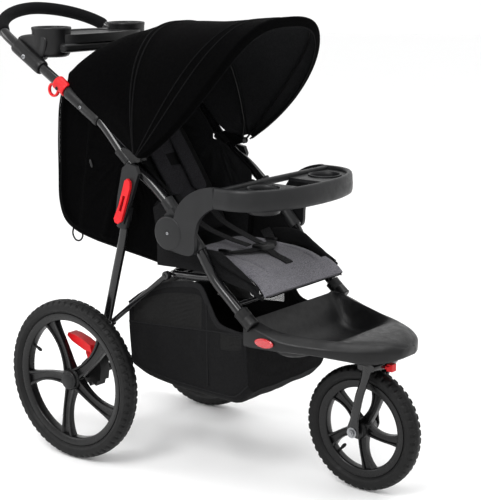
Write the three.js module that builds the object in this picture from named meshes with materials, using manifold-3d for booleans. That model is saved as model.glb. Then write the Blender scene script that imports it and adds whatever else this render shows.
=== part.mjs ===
// Jogging stroller: three air tyres, a folding tube frame, a reclining seat, a canopy,
// a basket, a child tray and a parent tray.
// Millimetres, +Z up. The stroller faces -Y, so its right side is at -X.
// Everything is laid out from the point on the ground under the rear axle, and the finished
// group is then moved along Y so that its origin is the middle of its footprint.
import * as THREE from "three";
import { mergeVertices } from "three/addons/utils/BufferGeometryUtils.js";
import Module from "manifold-3d";

const wasm = await Module();
wasm.setup();

// ---------------------------------------------------------------- driving dimensions
const GAP = 0.3; // clearance between touching pieces

const TUBE_X = 187; // centre plane of the handle and front tubes
const TUBE_R = 12.5;
const LEG_X = 196; // centre plane of the rear legs
const LEG_R = 11;
const SLEEVE_R = 16.5;

const REAR_WHEEL = { radius: 200, width: 46, trackX: 257, y: 0, z: 200 };
const FRONT_WHEEL = { radius: 150, width: 43, trackX: 0, y: -686, z: 150 };
const AXLE_R = 10;
const STUB_R = 6;
const STEER_Y = -722; // upright axis of the front fork

// Pivots of the fold, as [y, z]
const MAIN_PIVOT = [-158, 728]; // rear leg to upper frame
const FRONT_PIVOT = [-280, 596]; // upper frame to front frame
const RAIL_PIVOT = [-393, 496]; // front frame to seat rail
const BRACE_PIVOT = [-238, 482]; // seat rail to brace
const BRACE_FOOT = [-58, 337]; // open end of the brace, beside the rear leg
const RECLINE_PIVOT = [-212, 512];
const CANOPY_PIVOT = [-178, 758];

const SEAT_RAIL_X = 160;
const SEAT_RAIL_R = 9;
const BRACE_X = 177;

// The handle tube leaves the side of the frame as a straight line, then turns into an arch
// that lies in the same sloping plane.
const HANDLE_STRAIGHT_FROM = [-40, 838];
const HANDLE_ARCH_FROM = [269, 1024];
const HANDLE_ARCH_RISE = 116;
const HANDLE_STEPS = 66;
const TUBE_SIDES = 10;

// Where the front tube is split by its folding joint
const TUBE_DIRECTION = [-0.684, -0.729]; // down the front tube, as [y, z]
const SPLIT = [-299, 614];

const CANOPY_THICKNESS = 4;

// ---------------------------------------------------------------- materials
const finish = (color, roughness, metalness = 0) => ({ color, roughness, metalness });
const GLOSS_BLACK = finish(0x121214, 0.25, 0.6);
const MATTE_BLACK = finish(0x17181a, 0.6);
const GREY_PLASTIC = finish(0x3b3d40, 0.5);
const RUBBER = finish(0x1b1b1c, 0.85);
const WHEEL_PLASTIC = finish(0x232427, 0.5);
const FOAM = finish(0x0e0e0f, 0.95);
const RED_PLASTIC = finish(0xb3202b, 0.45);
const STEEL = finish(0xb8bbc0, 0.3, 0.9);
const CHARCOAL_FABRIC = finish(0x2c2d30, 0.9);
const BLACK_FABRIC = finish(0x151517, 0.95);
const GREY_FABRIC = finish(0x8d8d93, 0.9);
const REFLECTOR_RED = finish(0xd01430, 0.15);

// ---------------------------------------------------------------- geometry helpers
const at = (x, [y, z]) => new THREE.Vector3(x, y, z);
const along = ([y, z], distance) => [
  y + TUBE_DIRECTION[0] * distance,
  z + TUBE_DIRECTION[1] * distance,
];

// Turns every face outwards when the surface was built inside out.
function facingOut(geometry) {
  const flat = new THREE.BufferGeometry();
  flat.setAttribute("position", geometry.getAttribute("position").clone());
  if (geometry.index) flat.setIndex(geometry.index.clone());
  const merged = mergeVertices(flat, 1e-3);
  const position = merged.getAttribute("position");
  const index = merged.index.array;
  const corner = [0, 1, 2].map(() => new THREE.Vector3());
  let volume = 0;
  for (let i = 0; i < index.length; i += 3) {
    corner.forEach((v, k) => v.fromBufferAttribute(position, index[i + k]));
    volume += corner[0].dot(corner[1].clone().cross(corner[2]));
  }
  if (volume < 0) {
    for (let i = 0; i < index.length; i += 3) {
      [index[i + 1], index[i + 2]] = [index[i + 2], index[i + 1]];
    }
  }
  return merged;
}

function solidOf(geometry) {
  const merged = facingOut(geometry);
  const vertProperties = new Float32Array(merged.getAttribute("position").array);
  const triVerts = new Uint32Array(merged.index.array);
  return new wasm.Manifold(new wasm.Mesh({ numProp: 3, vertProperties, triVerts }));
}

function geometryOf(solid) {
  const mesh = solid.getMesh();
  const geometry = new THREE.BufferGeometry();
  const position = new THREE.BufferAttribute(mesh.vertProperties, 3);
  geometry.setAttribute("position", position);
  geometry.setIndex(new THREE.BufferAttribute(mesh.triVerts, 1));
  return geometry;
}

function join(...pieces) {
  const [first, ...others] = pieces.map(solidOf);
  return geometryOf(others.reduce((whole, piece) => whole.add(piece), first));
}

function cut(piece, ...tools) {
  const solids = tools.map(solidOf);
  return geometryOf(solids.reduce((rest, tool) => rest.subtract(tool), solidOf(piece)));
}

// A side profile of [y, z] points, extruded across X between two planes.
function slab(outline, xFrom, xTo) {
  const shape = new THREE.Shape(outline.map(([y, z]) => new THREE.Vector2(y, z)));
  const depth = Math.abs(xTo - xFrom);
  const geometry = new THREE.ExtrudeGeometry(shape, { depth, bevelEnabled: false });
  const axes = [new THREE.Vector3(0, 1, 0), new THREE.Vector3(0, 0, 1), new THREE.Vector3(1, 0, 0)];
  geometry.applyMatrix4(new THREE.Matrix4().makeBasis(...axes));
  return geometry.translate(Math.min(xFrom, xTo), 0, 0);
}

// A plan outline of [x, y] points, extruded upwards between two heights.
function column(outline, zFrom, zTo) {
  const shape = new THREE.Shape(outline.map(([x, y]) => new THREE.Vector2(x, y)));
  const geometry = new THREE.ExtrudeGeometry(shape, { depth: zTo - zFrom, bevelEnabled: false });
  return geometry.translate(0, 0, zFrom);
}

function box(xFrom, xTo, yFrom, yTo, zFrom, zTo) {
  const geometry = new THREE.BoxGeometry(Math.abs(xTo - xFrom), yTo - yFrom, zTo - zFrom);
  return geometry.translate((xFrom + xTo) / 2, (yFrom + yTo) / 2, (zFrom + zTo) / 2);
}

// A round bar between two points.
function rod(from, to, radius, sides = 12) {
  const axis = to.clone().sub(from);
  const geometry = new THREE.CylinderGeometry(radius, radius, axis.length(), sides);
  const turn = new THREE.Quaternion().setFromUnitVectors(
    new THREE.Vector3(0, 1, 0),
    axis.clone().normalize(),
  );
  geometry.applyQuaternion(turn);
  const middle = from.clone().add(to).multiplyScalar(0.5);
  return geometry.translate(middle.x, middle.y, middle.z);
}

// A round bar across X through a pivot.
function crossRod(xFrom, xTo, pivot, radius, sides = 12) {
  return rod(at(xFrom, pivot), at(xTo, pivot), radius, sides);
}

// A solid turned about a line along X: the profile is a closed list of [radius, x] points.
function turned(profile, [y, z], sides) {
  const points = [...profile, profile[0]].map(([r, x]) => new THREE.Vector2(r, x));
  const geometry = new THREE.LatheGeometry(points, sides);
  geometry.rotateZ(-Math.PI / 2);
  return facingOut(geometry.translate(0, y, z));
}

function polygonShape(radius, sides) {
  const points = Array.from({ length: sides }, (_, i) => {
    const angle = (2 * Math.PI * i) / sides;
    return new THREE.Vector2(radius * Math.cos(angle), radius * Math.sin(angle));
  });
  return new THREE.Shape(points);
}

// A round tube, solid inside, that follows a smooth curve through the points.
function tube(points, radius, steps, sides = TUBE_SIDES) {
  const curve = new THREE.CatmullRomCurve3(points, false, "centripetal");
  return new THREE.ExtrudeGeometry(polygonShape(radius, sides), {
    steps,
    extrudePath: curve,
    bevelEnabled: false,
  });
}

// A closed solid through rings that all have the same number of points.
function loft(rings) {
  const count = rings[0].length;
  const middleOf = (ring) => {
    const sum = ring.reduce((total, p) => total.add(p), new THREE.Vector3());
    return sum.multiplyScalar(1 / count);
  };
  const points = [...rings.flat(), middleOf(rings[0]), middleOf(rings.at(-1))];
  const firstMiddle = points.length - 2;
  const lastMiddle = points.length - 1;
  const lastRing = (rings.length - 1) * count;
  const faces = [];
  for (let j = 0; j < count; j++) {
    const k = (j + 1) % count;
    faces.push(firstMiddle, k, j);
    faces.push(lastMiddle, lastRing + j, lastRing + k);
    for (let i = 0; i < rings.length - 1; i++) {
      const [a, b, c, d] = [i * count + j, i * count + k, (i + 1) * count + k, (i + 1) * count + j];
      faces.push(a, b, c, a, c, d);
    }
  }
  const geometry = new THREE.BufferGeometry().setFromPoints(points);
  geometry.setIndex(faces);
  return facingOut(geometry);
}

// A closed sheet between an outer and an inner grid of points.
function sheet(outer, inner) {
  const rows = outer.length;
  const columns = outer[0].length;
  const points = [...outer.flat(), ...inner.flat()];
  const outside = (i, j) => i * columns + j;
  const inside = (i, j) => rows * columns + i * columns + j;
  const faces = [];
  const quad = (a, b, c, d) => faces.push(a, b, c, a, c, d);
  for (let i = 0; i < rows - 1; i++) {
    for (let j = 0; j < columns - 1; j++) {
      quad(outside(i, j), outside(i, j + 1), outside(i + 1, j + 1), outside(i + 1, j));
      quad(inside(i, j), inside(i + 1, j), inside(i + 1, j + 1), inside(i, j + 1));
    }
  }
  for (let j = 0; j < columns - 1; j++) {
    quad(outside(0, j + 1), outside(0, j), inside(0, j), inside(0, j + 1));
    const last = rows - 1;
    quad(outside(last, j), outside(last, j + 1), inside(last, j + 1), inside(last, j));
  }
  for (let i = 0; i < rows - 1; i++) {
    quad(outside(i, 0), outside(i + 1, 0), inside(i + 1, 0), inside(i, 0));
    const last = columns - 1;
    quad(outside(i + 1, last), outside(i, last), inside(i, last), inside(i + 1, last));
  }
  const geometry = new THREE.BufferGeometry().setFromPoints(points);
  geometry.setIndex(faces);
  return facingOut(geometry);
}

// Points of half a superellipse, from one side over the top to the other, as [across, up].
function archPoints(half, rise, power, count, startAngle = 0) {
  return Array.from({ length: count }, (_, i) => {
    const angle = startAngle + ((Math.PI - 2 * startAngle) * i) / (count - 1);
    const across = Math.sign(Math.cos(angle)) * Math.abs(Math.cos(angle)) ** (2 / power);
    return [-half * across, rise * Math.sin(angle) ** (2 / power)];
  });
}

const stroller = new THREE.Group();

function addTo(group, name, geometry, look) {
  const clean = facingOut(geometry);
  clean.computeVertexNormals();
  const mesh = new THREE.Mesh(clean, new THREE.MeshStandardMaterial(look));
  mesh.name = name;
  group.add(mesh);
}

function newBody() {
  const group = new THREE.Group();
  stroller.add(group);
  return group;
}

const SIDES = [
  { side: "right", sign: -1 },
  { side: "left", sign: 1 },
];

// ---------------------------------------------------------------- wheels
// One tyre, and one moulded wheel with a channelled rim, five curved spokes and a bored hub.
function tyre({ radius, width, trackX, y, z }, grooveRadius) {
  const half = width / 2;
  const rightHalf = [
    [grooveRadius, half * 0.62],
    [grooveRadius + (radius - grooveRadius) * 0.2, half * 0.92],
    [grooveRadius + (radius - grooveRadius) * 0.5, half],
    [radius - 7, half * 0.86],
    [radius - 2, half * 0.55],
    [radius, half * 0.22],
  ];
  const leftHalf = rightHalf.map(([r, x]) => [r, -x]).reverse();
  const geometry = turned([...rightHalf, ...leftHalf], [y, z], 36);
  return geometry.translate(trackX, 0, 0);
}

function spokedWheel({ trackX, y, z }, grooveRadius, openRadius, hub, firstAngle) {
  const half = hub.rimHalf;
  const bed = grooveRadius - 0.4;
  const rim = turned(
    [
      [openRadius, half * 0.75],
      [openRadius + 7, half],
      [bed, half],
      [bed, -half],
      [openRadius + 7, -half],
      [openRadius, -half * 0.75],
    ],
    [0, 0],
    36,
  );
  const hubBody = crossRod(-hub.half, hub.half, [0, 0], hub.radius, 20);
  const reach = openRadius + 3;
  const spokes = Array.from({ length: 5 }, (_, i) => {
    const spoke = slab(
      [
        [hub.radius - 6, -hub.radius * 0.55],
        [reach * 0.55, -hub.radius * 0.28],
        [reach, -hub.radius * 0.62],
        [reach, hub.radius * 0.5],
        [reach * 0.5, hub.radius * 0.62],
        [hub.radius - 6, hub.radius * 0.55],
      ],
      -hub.spokeHalf,
      hub.spokeHalf,
    );
    return spoke.rotateX(firstAngle + (i * 2 * Math.PI) / 5);
  });
  const bore = crossRod(-hub.half - 1, hub.half + 1, [0, 0], hub.bore, 12);
  const wheel = cut(join(rim, hubBody, ...spokes), bore);
  return wheel.translate(trackX, y, z);
}

const REAR_GROOVE = 167.6;
const REAR_OPENING = 148.5;
const REAR_HUB = { half: 17, radius: 27, bore: STUB_R + GAP, rimHalf: 15, spokeHalf: 8 };
const FRONT_GROOVE = 117.5;
const FRONT_OPENING = 98;
const FRONT_BOLT_R = 5;
const FRONT_HUB = { half: 31, radius: 22, bore: FRONT_BOLT_R + GAP, rimHalf: 14, spokeHalf: 8 };

for (const { side, sign } of SIDES) {
  const body = newBody();
  const wheel = { ...REAR_WHEEL, trackX: sign * REAR_WHEEL.trackX };
  addTo(body, `rear_tyre_${side}`, tyre(wheel, REAR_GROOVE), RUBBER);
  const moulding = spokedWheel(wheel, REAR_GROOVE, REAR_OPENING, REAR_HUB, THREE.MathUtils.degToRad(63));
  addTo(body, `rear_wheel_${side}`, moulding, WHEEL_PLASTIC);
  const capFoot = REAR_WHEEL.trackX + REAR_HUB.half + GAP;
  const cap = turned(
    [
      [0, sign * capFoot],
      [24, sign * capFoot],
      [23, sign * (capFoot + 4)],
      [15, sign * (capFoot + 8)],
      [0, sign * (capFoot + 9)],
    ],
    [REAR_WHEEL.y, REAR_WHEEL.z],
    20,
  );
  addTo(body, `hub_cap_${side}`, cap, MATTE_BLACK);
}

const frontWheelBody = newBody();
addTo(frontWheelBody, "front_tyre", tyre(FRONT_WHEEL, FRONT_GROOVE), RUBBER);
addTo(
  frontWheelBody,
  "front_wheel",
  spokedWheel(FRONT_WHEEL, FRONT_GROOVE, FRONT_OPENING, FRONT_HUB, THREE.MathUtils.degToRad(43)),
  WHEEL_PLASTIC,
);

// ---------------------------------------------------------------- rear frame
const LEG_TOP = [-133, 632];
const LEG_ROUTE = [LEG_TOP, [-117, 556], [-94, 472], [-64, 362], [-38, 275], [-22, 226]];
const legPath = (x) => LEG_ROUTE.map((point) => at(x, point));
const LEG_STEPS = 12;

const rearFrame = newBody();

const rearAxle = join(
  crossRod(-230, 230, [REAR_WHEEL.y, REAR_WHEEL.z], AXLE_R, 14),
  crossRod(-272, 272, [REAR_WHEEL.y, REAR_WHEEL.z], STUB_R, 14),
);
addTo(rearFrame, "rear_axle", rearAxle, GLOSS_BLACK);

for (const { side, sign } of SIDES) {
  const legX = sign * LEG_X;
  addTo(rearFrame, `rear_leg_${side}`, tube(legPath(legX), LEG_R, LEG_STEPS), GLOSS_BLACK);
  const legClearance = tube(legPath(legX), LEG_R + GAP, LEG_STEPS);

  // Fold bracket: an outer cheek with the main pivot pin, and a socket for the leg.
  const cheek = slab(
    [
      [-184, 724],
      [-176, 742],
      [-150, 746],
      [-134, 734],
      [-117, 664],
      [-108, 606],
      [-134, 598],
      [-160, 660],
    ],
    sign * 202,
    sign * 213,
  );
  const socket = rod(at(legX, [-135, 642]), at(legX, [-119, 588]), 16, 14);
  const mainPin = crossRod(sign * 175, sign * 204, MAIN_PIVOT, 5, 12);
  addTo(rearFrame, `fold_bracket_${side}`, cut(join(cheek, socket, mainPin), legClearance), GREY_PLASTIC);

  // Brake housing: a toothed moulding that clamps the foot of the leg to the axle.
  const housing = slab(
    [
      [-52, 222],
      [-46, 250],
      [-30, 262],
      [-12, 250],
      [14, 226],
      [22, 204],
      [16, 182],
      [2, 176],
      [-4, 184],
      [-14, 172],
      [-22, 182],
      [-34, 176],
      [-38, 188],
      [-48, 192],
    ],
    sign * 182,
    sign * 214,
  );
  const axleClearance = crossRod(-240, 240, [REAR_WHEEL.y, REAR_WHEEL.z], AXLE_R + GAP, 14);
  const pedalPivot = [-30, 246];
  const pedalPinBore = crossRod(sign * 206, sign * 216, pedalPivot, 3.5 + GAP, 10);
  const brakeHousing = cut(housing, axleClearance, legClearance, pedalPinBore);
  addTo(rearFrame, `brake_housing_${side}`, brakeHousing, MATTE_BLACK);

  // Brake pedal: a ridged foot pad on an arm beside the housing.
  const arm = slab(
    [
      [-40, 238],
      [-24, 238],
      [-14, 262],
      [-16, 284],
      [-42, 286],
      [-44, 262],
    ],
    sign * 215,
    sign * 227,
  );
  const pad = slab(
    [
      [-43, 270],
      [-20, 272],
      [22, 288],
      [38, 300],
      [34, 308],
      [14, 306],
      [-14, 298],
      [-40, 286],
    ],
    sign * 209.5,
    sign * 238,
  );
  const ridges = [-24, -6, 12].map((y) => {
    const ridge = [y, 296 + y * 0.28];
    return rod(at(sign * 210.5, ridge), at(sign * 237, ridge), 3.5, 8);
  });
  const pedalPin = crossRod(sign * 207, sign * 220, pedalPivot, 3.5, 10);
  const pedalBody = newBody();
  addTo(pedalBody, `brake_pedal_${side}`, join(arm, pad, pedalPin, ...ridges), RED_PLASTIC);

  // Safety lever: the slotted red catch on the outside of the fold bracket.
  const leverBody = newBody();
  const leverOutline = [
    [-164, 704],
    [-156, 711],
    [-148, 706],
    [-128, 646],
    [-111, 611],
    [-114, 602],
    [-123, 599],
    [-135, 607],
    [-149, 646],
    [-164, 690],
  ];
  const slot = slab(
    [
      [-149, 668],
      [-142, 670],
      [-128, 632],
      [-135, 629],
    ],
    sign * 210,
    sign * 230,
  );
  const lever = cut(slab(leverOutline, sign * (213 + GAP), sign * 221), slot);
  addTo(leverBody, `safety_lever_${side}`, lever, RED_PLASTIC);
}

// ---------------------------------------------------------------- upper frame
const UPPER_ROUTE = [
  along(SPLIT, -4),
  along(SPLIT, -45),
  [-240, 672],
  [-202, 702],
  MAIN_PIVOT,
  [-122, 757],
  [-92, 789],
  [-66, 816],
  HANDLE_STRAIGHT_FROM,
];

function handlePoints() {
  const [y0, z0] = HANDLE_STRAIGHT_FROM;
  const [y1, z1] = HANDLE_ARCH_FROM;
  const length = Math.hypot(y1 - y0, z1 - z0);
  const slope = [(y1 - y0) / length, (z1 - z0) / length];
  const straight = [0.25, 0.5, 0.75].map((share) => [y0 + (y1 - y0) * share, z0 + (z1 - z0) * share]);
  const side = [...UPPER_ROUTE, ...straight];
  const arch = archPoints(TUBE_X, HANDLE_ARCH_RISE, 1.85, 13).map(
    ([x, up]) => new THREE.Vector3(x, y1 + slope[0] * up, z1 + slope[1] * up),
  );
  return [
    ...side.map((point) => at(-TUBE_X, point)),
    ...arch,
    ...side.reverse().map((point) => at(TUBE_X, point)),
  ];
}

const HANDLE_POINTS = handlePoints();
const handleClearance = tube(HANDLE_POINTS, TUBE_R + GAP, HANDLE_STEPS);
const upperFrame = newBody();

const pivotBores = SIDES.map(({ sign }) => crossRod(sign * 170, sign * 204, MAIN_PIVOT, 5 + GAP, 12));
const handleTube = cut(tube(HANDLE_POINTS, TUBE_R, HANDLE_STEPS), ...pivotBores);
addTo(upperFrame, "handle_tube", handleTube, GLOSS_BLACK);

// Foam grip: the same curve as the tube, kept only over the arch.
const foam = cut(
  tube(HANDLE_POINTS, 16, HANDLE_STEPS, 12),
  handleClearance,
  box(-240, 240, -700, 286, 0, 1100),
);
addTo(upperFrame, "foam_grip", foam, FOAM);

for (const { side, sign } of SIDES) {
  const x = sign * TUBE_X;

  // Latch sleeve on the straight part of the handle tube.
  const sleeve = rod(at(x, [-42, 836]), at(x, [62, 899]), SLEEVE_R, 14);
  addTo(upperFrame, `latch_sleeve_${side}`, cut(sleeve, handleClearance), MATTE_BLACK);

  // Fold trigger: a red collar that slides up the tube, with a finger ring under it.
  const triggerBody = newBody();
  const collar = rod(at(x, [66, 901.8]), at(x, [98, 921]), 17.5, 14);
  const ringCentre = [112, 901];
  const finger = cut(
    crossRod(x - 4, x + 4, ringCentre, 18, 16),
    crossRod(x - 6, x + 6, ringCentre, 12, 16),
  );
  addTo(triggerBody, `fold_trigger_${side}`, cut(join(collar, finger), handleClearance), RED_PLASTIC);

  // Folding joint of the front tube: a sleeve, a block and a round plate with the pin.
  const plateIn = sign * 204.5;
  const plateOut = sign * 209;
  const upperSleeve = rod(at(x, along(SPLIT, -72)), at(x, along(SPLIT, -4)), SLEEVE_R, 14);
  const normal = [TUBE_DIRECTION[1], -TUBE_DIRECTION[0]];
  const offset = (distance, aside) => {
    const [y, z] = along(SPLIT, distance);
    return [y - normal[0] * aside, z - normal[1] * aside];
  };
  const block = slab([offset(-4, 22), offset(-42, 14), offset(-42, -14), offset(-4, -14)], sign * 199, plateOut);
  const plate = crossRod(plateIn, plateOut, FRONT_PIVOT, 38, 24);
  const jointPin = crossRod(sign * 174, sign * 206, FRONT_PIVOT, 4.5, 12);
  const joint = cut(join(upperSleeve, block, plate, jointPin), handleClearance);
  addTo(upperFrame, `front_joint_${side}`, joint, GREY_PLASTIC);

  // C-shaped arm that carries the child tray, with a pocket in its end for the tray.
  const armIn = sign * (209 + GAP);
  const armOut = sign * 220;
  const disc = crossRod(armIn, armOut, FRONT_PIVOT, 40, 28);
  const curve = slab(
    [
      [-280, 557],
      [-318, 551],
      [-348, 552],
      [-358, 562],
      [-361, 600],
      [-370, 630],
      [-386, 652],
      [-414, 667],
      [-414, 717],
      [-380, 711],
      [-350, 698],
      [-325, 680],
      [-305, 655],
      [-296, 632],
      [-280, 620],
    ],
    armIn,
    armOut,
  );
  const pocket = box(sign * 212, sign * 217, -420, -376, 679, 705);
  addTo(upperFrame, `tray_arm_${side}`, cut(join(disc, curve), pocket), GREY_PLASTIC);
}

// Parent tray: a deck with two cups, clamped round both handle tubes.
const CUP_CENTRE = [137, 166];
const cupOutline = (radius, sign, count) =>
  Array.from({ length: count }, (_, i) => {
    const angle = (2 * Math.PI * i) / count;
    return [sign * CUP_CENTRE[0] + radius * Math.cos(angle), CUP_CENTRE[1] + radius * Math.sin(angle)];
  });
const deckOutline = [
  [-168, 104],
  [-60, 92],
  [60, 92],
  [168, 104],
  [172, 216],
  [120, 246],
  [45, 262],
  [-45, 262],
  [-120, 246],
  [-172, 216],
];
let parentTray = join(
  column(deckOutline, 1010, 1032),
  ...SIDES.map(({ sign }) => column(cupOutline(48, sign, 20), 976, 1048)),
);
for (const { sign } of SIDES) {
  const x = sign * TUBE_X;
  const clampTube = rod(at(x, [150, 951]), at(x, [238, 1003.8]), 18, 14);
  const web = box(sign * 160, sign * 186, 178, 236, 990, 1028);
  parentTray = join(parentTray, clampTube, web);
}
parentTray = cut(
  parentTray,
  handleClearance,
  ...SIDES.map(({ sign }) => column(cupOutline(42, sign, 20), 982, 1060)),
);
addTo(upperFrame, "parent_tray", parentTray, MATTE_BLACK);

// ---------------------------------------------------------------- child tray
const trayEdge = (halfWidth, back, front) => {
  const side = [
    [1, back],
    [1, -462],
    [0.9, front + 62],
    [0.7, front + 30],
    [0.36, front + 8],
  ];
  const left = side.map(([share, y]) => [share * halfWidth, y]);
  const right = side.map(([share, y]) => [-share * halfWidth, y]).reverse();
  return [...left, [0, front], ...right];
};
const trayOutline = trayEdge(220, -414 - GAP, -571);
const trayInside = trayEdge(204, -400, -557);
const traySide = (sign) => [
  [sign * 46, -430],
  [sign * 206, -424],
  [sign * 206, -460],
  [sign * 186, -496],
  [sign * 146, -529],
  [sign * 84, -551],
  [sign * 46, -556],
];
const childTrayBody = newBody();
const trayWall = cut(column(trayOutline, 667, 717), column(trayInside, 660, 720));
const trayDecks = SIDES.map(({ sign }) => column(traySide(sign), 700, 708));
const trayCups = SIDES.map(({ sign }) => rod(at(sign * 122, [-484, 652]), at(sign * 122, [-484, 712]), 40, 20));
const trayBar = column(
  [
    [-206, -436],
    [206, -436],
    [206, -424],
    [-206, -424],
  ],
  700,
  717,
);
const tongues = SIDES.map(({ sign }) =>
  box(sign * (212 + GAP), sign * (217 - GAP), -424, -378, 679 + GAP, 705 - GAP),
);
const childTray = cut(
  join(trayWall, ...trayDecks, ...trayCups, trayBar, ...tongues),
  ...SIDES.map(({ sign }) => rod(at(sign * 122, [-484, 657]), at(sign * 122, [-484, 720]), 35, 20)),
);
addTo(childTrayBody, "child_tray", childTray, GREY_PLASTIC);

// ---------------------------------------------------------------- front frame
const FRONT_ROUTE = [
  along(SPLIT, 4),
  along(SPLIT, 42),
  [-352, 557],
  [-369, 531],
  [-387, 504],
  [-411, 479],
  [-440, 454],
  [-470, 428],
  [-494, 408],
];
const frontPath = (x) => FRONT_ROUTE.map((point) => at(x, point));
const FRONT_STEPS = 14;
const frontFrame = newBody();

// Footrest: a moulded plate with a sloping heel at the back, low rims and a rounded nose.
// Each cross-section is [y, half width, underside z, rim z, deck z].
const FOOTREST_SECTIONS = [
  [-480, 192, 352, 414, 408],
  [-502, 193, 352, 412, 400],
  [-530, 193, 353, 397, 384],
  [-562, 191, 354, 385, 370],
  [-600, 179, 354, 377, 363],
  [-668, 155, 352, 371, 361],
  [-720, 130, 344, 369, 365],
  [-752, 109, 338, 368, 371],
  [-784, 72, 338, 366, 371],
  [-804, 30, 344, 361, 363],
];
const footrestRing = ([y, half, under, rim, deck]) =>
  [
    [-half + 8, under],
    [-half, under + 6],
    [-half, rim - 2],
    [-half + 3, rim],
    [-half + 9, rim],
    [-half * 0.85 + 2, deck],
    [half * 0.85 - 2, deck],
    [half - 9, rim],
    [half - 3, rim],
    [half, rim - 2],
    [half, under + 6],
    [half - 8, under],
  ].map(([x, z]) => new THREE.Vector3(x, y, z));
const hollowRing = ([y, half, under, , deck]) =>
  [
    [-half + 12, under - 20],
    [-half + 12, under + 4],
    [-half * 0.8, deck - 5],
    [half * 0.8, deck - 5],
    [half - 12, under + 4],
    [half - 12, under - 20],
  ].map(([x, z]) => new THREE.Vector3(x, y, z));
const footrestBody = loft(FOOTREST_SECTIONS.map(footrestRing));
const underside = FOOTREST_SECTIONS.slice(1, 7).map(hollowRing);
underside[0].forEach((point) => point.setY(-486));
underside.at(-1).forEach((point) => point.setY(-676));
const noseBoss = rod(new THREE.Vector3(0, STEER_Y, 332), new THREE.Vector3(0, STEER_Y, 368), 34, 20);
const stemBore = rod(new THREE.Vector3(0, STEER_Y, 320), new THREE.Vector3(0, STEER_Y, 361), 8 + GAP, 14);
const tubeSockets = SIDES.map(({ sign }) => {
  const x = sign * (TUBE_X - 2);
  return rod(at(x, [-468, 430]), at(x, [-502, 401]), 17, 14);
});
const frontClearances = SIDES.map(({ sign }) => tube(frontPath(sign * TUBE_X), TUBE_R + GAP, FRONT_STEPS));
const footrestShell = cut(footrestBody, loft(underside));
const footrest = cut(join(footrestShell, noseBoss, ...tubeSockets), stemBore, ...frontClearances);
addTo(frontFrame, "footrest", footrest, MATTE_BLACK);

for (const { side, sign } of SIDES) {
  const x = sign * TUBE_X;
  const clearance = tube(frontPath(x), TUBE_R + GAP, FRONT_STEPS);
  const seatPinBore = crossRod(sign * 168, sign * 190, RAIL_PIVOT, 4 + GAP, 10);
  const frontTube = cut(tube(frontPath(x), TUBE_R, FRONT_STEPS), seatPinBore);
  addTo(frontFrame, `front_tube_${side}`, frontTube, GLOSS_BLACK);

  // Knuckle: a sleeve on the lower tube with a lug that turns on the joint's pin.
  const sleeve = rod(at(x, along(SPLIT, 4)), at(x, along(SPLIT, 78)), SLEEVE_R, 14);
  const lug = crossRod(sign * 178, sign * 198, FRONT_PIVOT, 10, 16);
  const [py, pz] = FRONT_PIVOT;
  const web = slab(
    [
      [py - 6, pz + 7],
      [py + 6, pz - 8],
      along([py + 2, pz - 6], 30),
      along([py - 16, pz + 10], 30),
      along([py - 16, pz + 10], 8),
    ],
    sign * 178,
    sign * 198,
  );
  const bore = crossRod(sign * 170, sign * 204, FRONT_PIVOT, 4.5 + GAP, 12);
  addTo(frontFrame, `front_knuckle_${side}`, cut(join(sleeve, lug, web), bore, clearance), GREY_PLASTIC);

  // Red reflector on the side of the footrest.
  const reflector = crossRod(sign * 193.4, sign * 197, [0, 0], 10, 16);
  reflector.scale(1, 2.6, 1.1).translate(0, -540, 371);
  addTo(frontFrame, `reflector_${side}`, reflector, REFLECTOR_RED);
}

const crossBarEnd = TUBE_X - TUBE_R - GAP;
addTo(frontFrame, "front_cross_bar", crossRod(-crossBarEnd, crossBarEnd, [-452, 444], 6, 10), GLOSS_BLACK);

const bearing = rod(new THREE.Vector3(0, STEER_Y, 325), new THREE.Vector3(0, STEER_Y, 331.6), 24, 20);
const bearingBore = rod(new THREE.Vector3(0, STEER_Y, 320), new THREE.Vector3(0, STEER_Y, 335), 8 + GAP, 14);
addTo(frontFrame, "steering_bearing", cut(bearing, bearingBore), GREY_PLASTIC);

// ---------------------------------------------------------------- fork
const forkBody = newBody();
const forkCrown = slab(
  [
    [-750, 312],
    [-742, 324.5],
    [-700, 324.5],
    [-694, 312],
    [-700, 303],
    [-744, 303],
  ],
  -51,
  51,
);
const forkLegs = SIDES.map(({ sign }) =>
  slab(
    [
      [-744, 312],
      [-700, 312],
      [-684, 250],
      [-668, 158],
      [-674, 138],
      [-698, 138],
      [-704, 158],
      [-718, 250],
    ],
    sign * 37,
    sign * 51,
  ),
);
const stem = rod(new THREE.Vector3(0, STEER_Y, 320), new THREE.Vector3(0, STEER_Y, 356), 8, 14);
const boltAxis = [FRONT_WHEEL.y, FRONT_WHEEL.z];
const boltBore = crossRod(-60, 60, boltAxis, FRONT_BOLT_R + GAP, 12);
const lockSlot = box(-13, 13, -752, -736, 305, 321);
addTo(forkBody, "front_fork", cut(join(forkCrown, ...forkLegs, stem), boltBore, lockSlot), MATTE_BLACK);

const bolt = join(
  crossRod(-58, 58, boltAxis, FRONT_BOLT_R, 12),
  ...SIDES.map(({ sign }) => crossRod(sign * (51 + GAP), sign * 59, boltAxis, 10, 6)),
);
addTo(forkBody, "front_axle_bolt", bolt, STEEL);

const lockBody = newBody();
const swivelLock = join(box(-12, 12, -760, -737, 306, 313), box(-9, 9, -766, -750, 300, 318));
addTo(lockBody, "swivel_lock", swivelLock, RED_PLASTIC);

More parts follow.
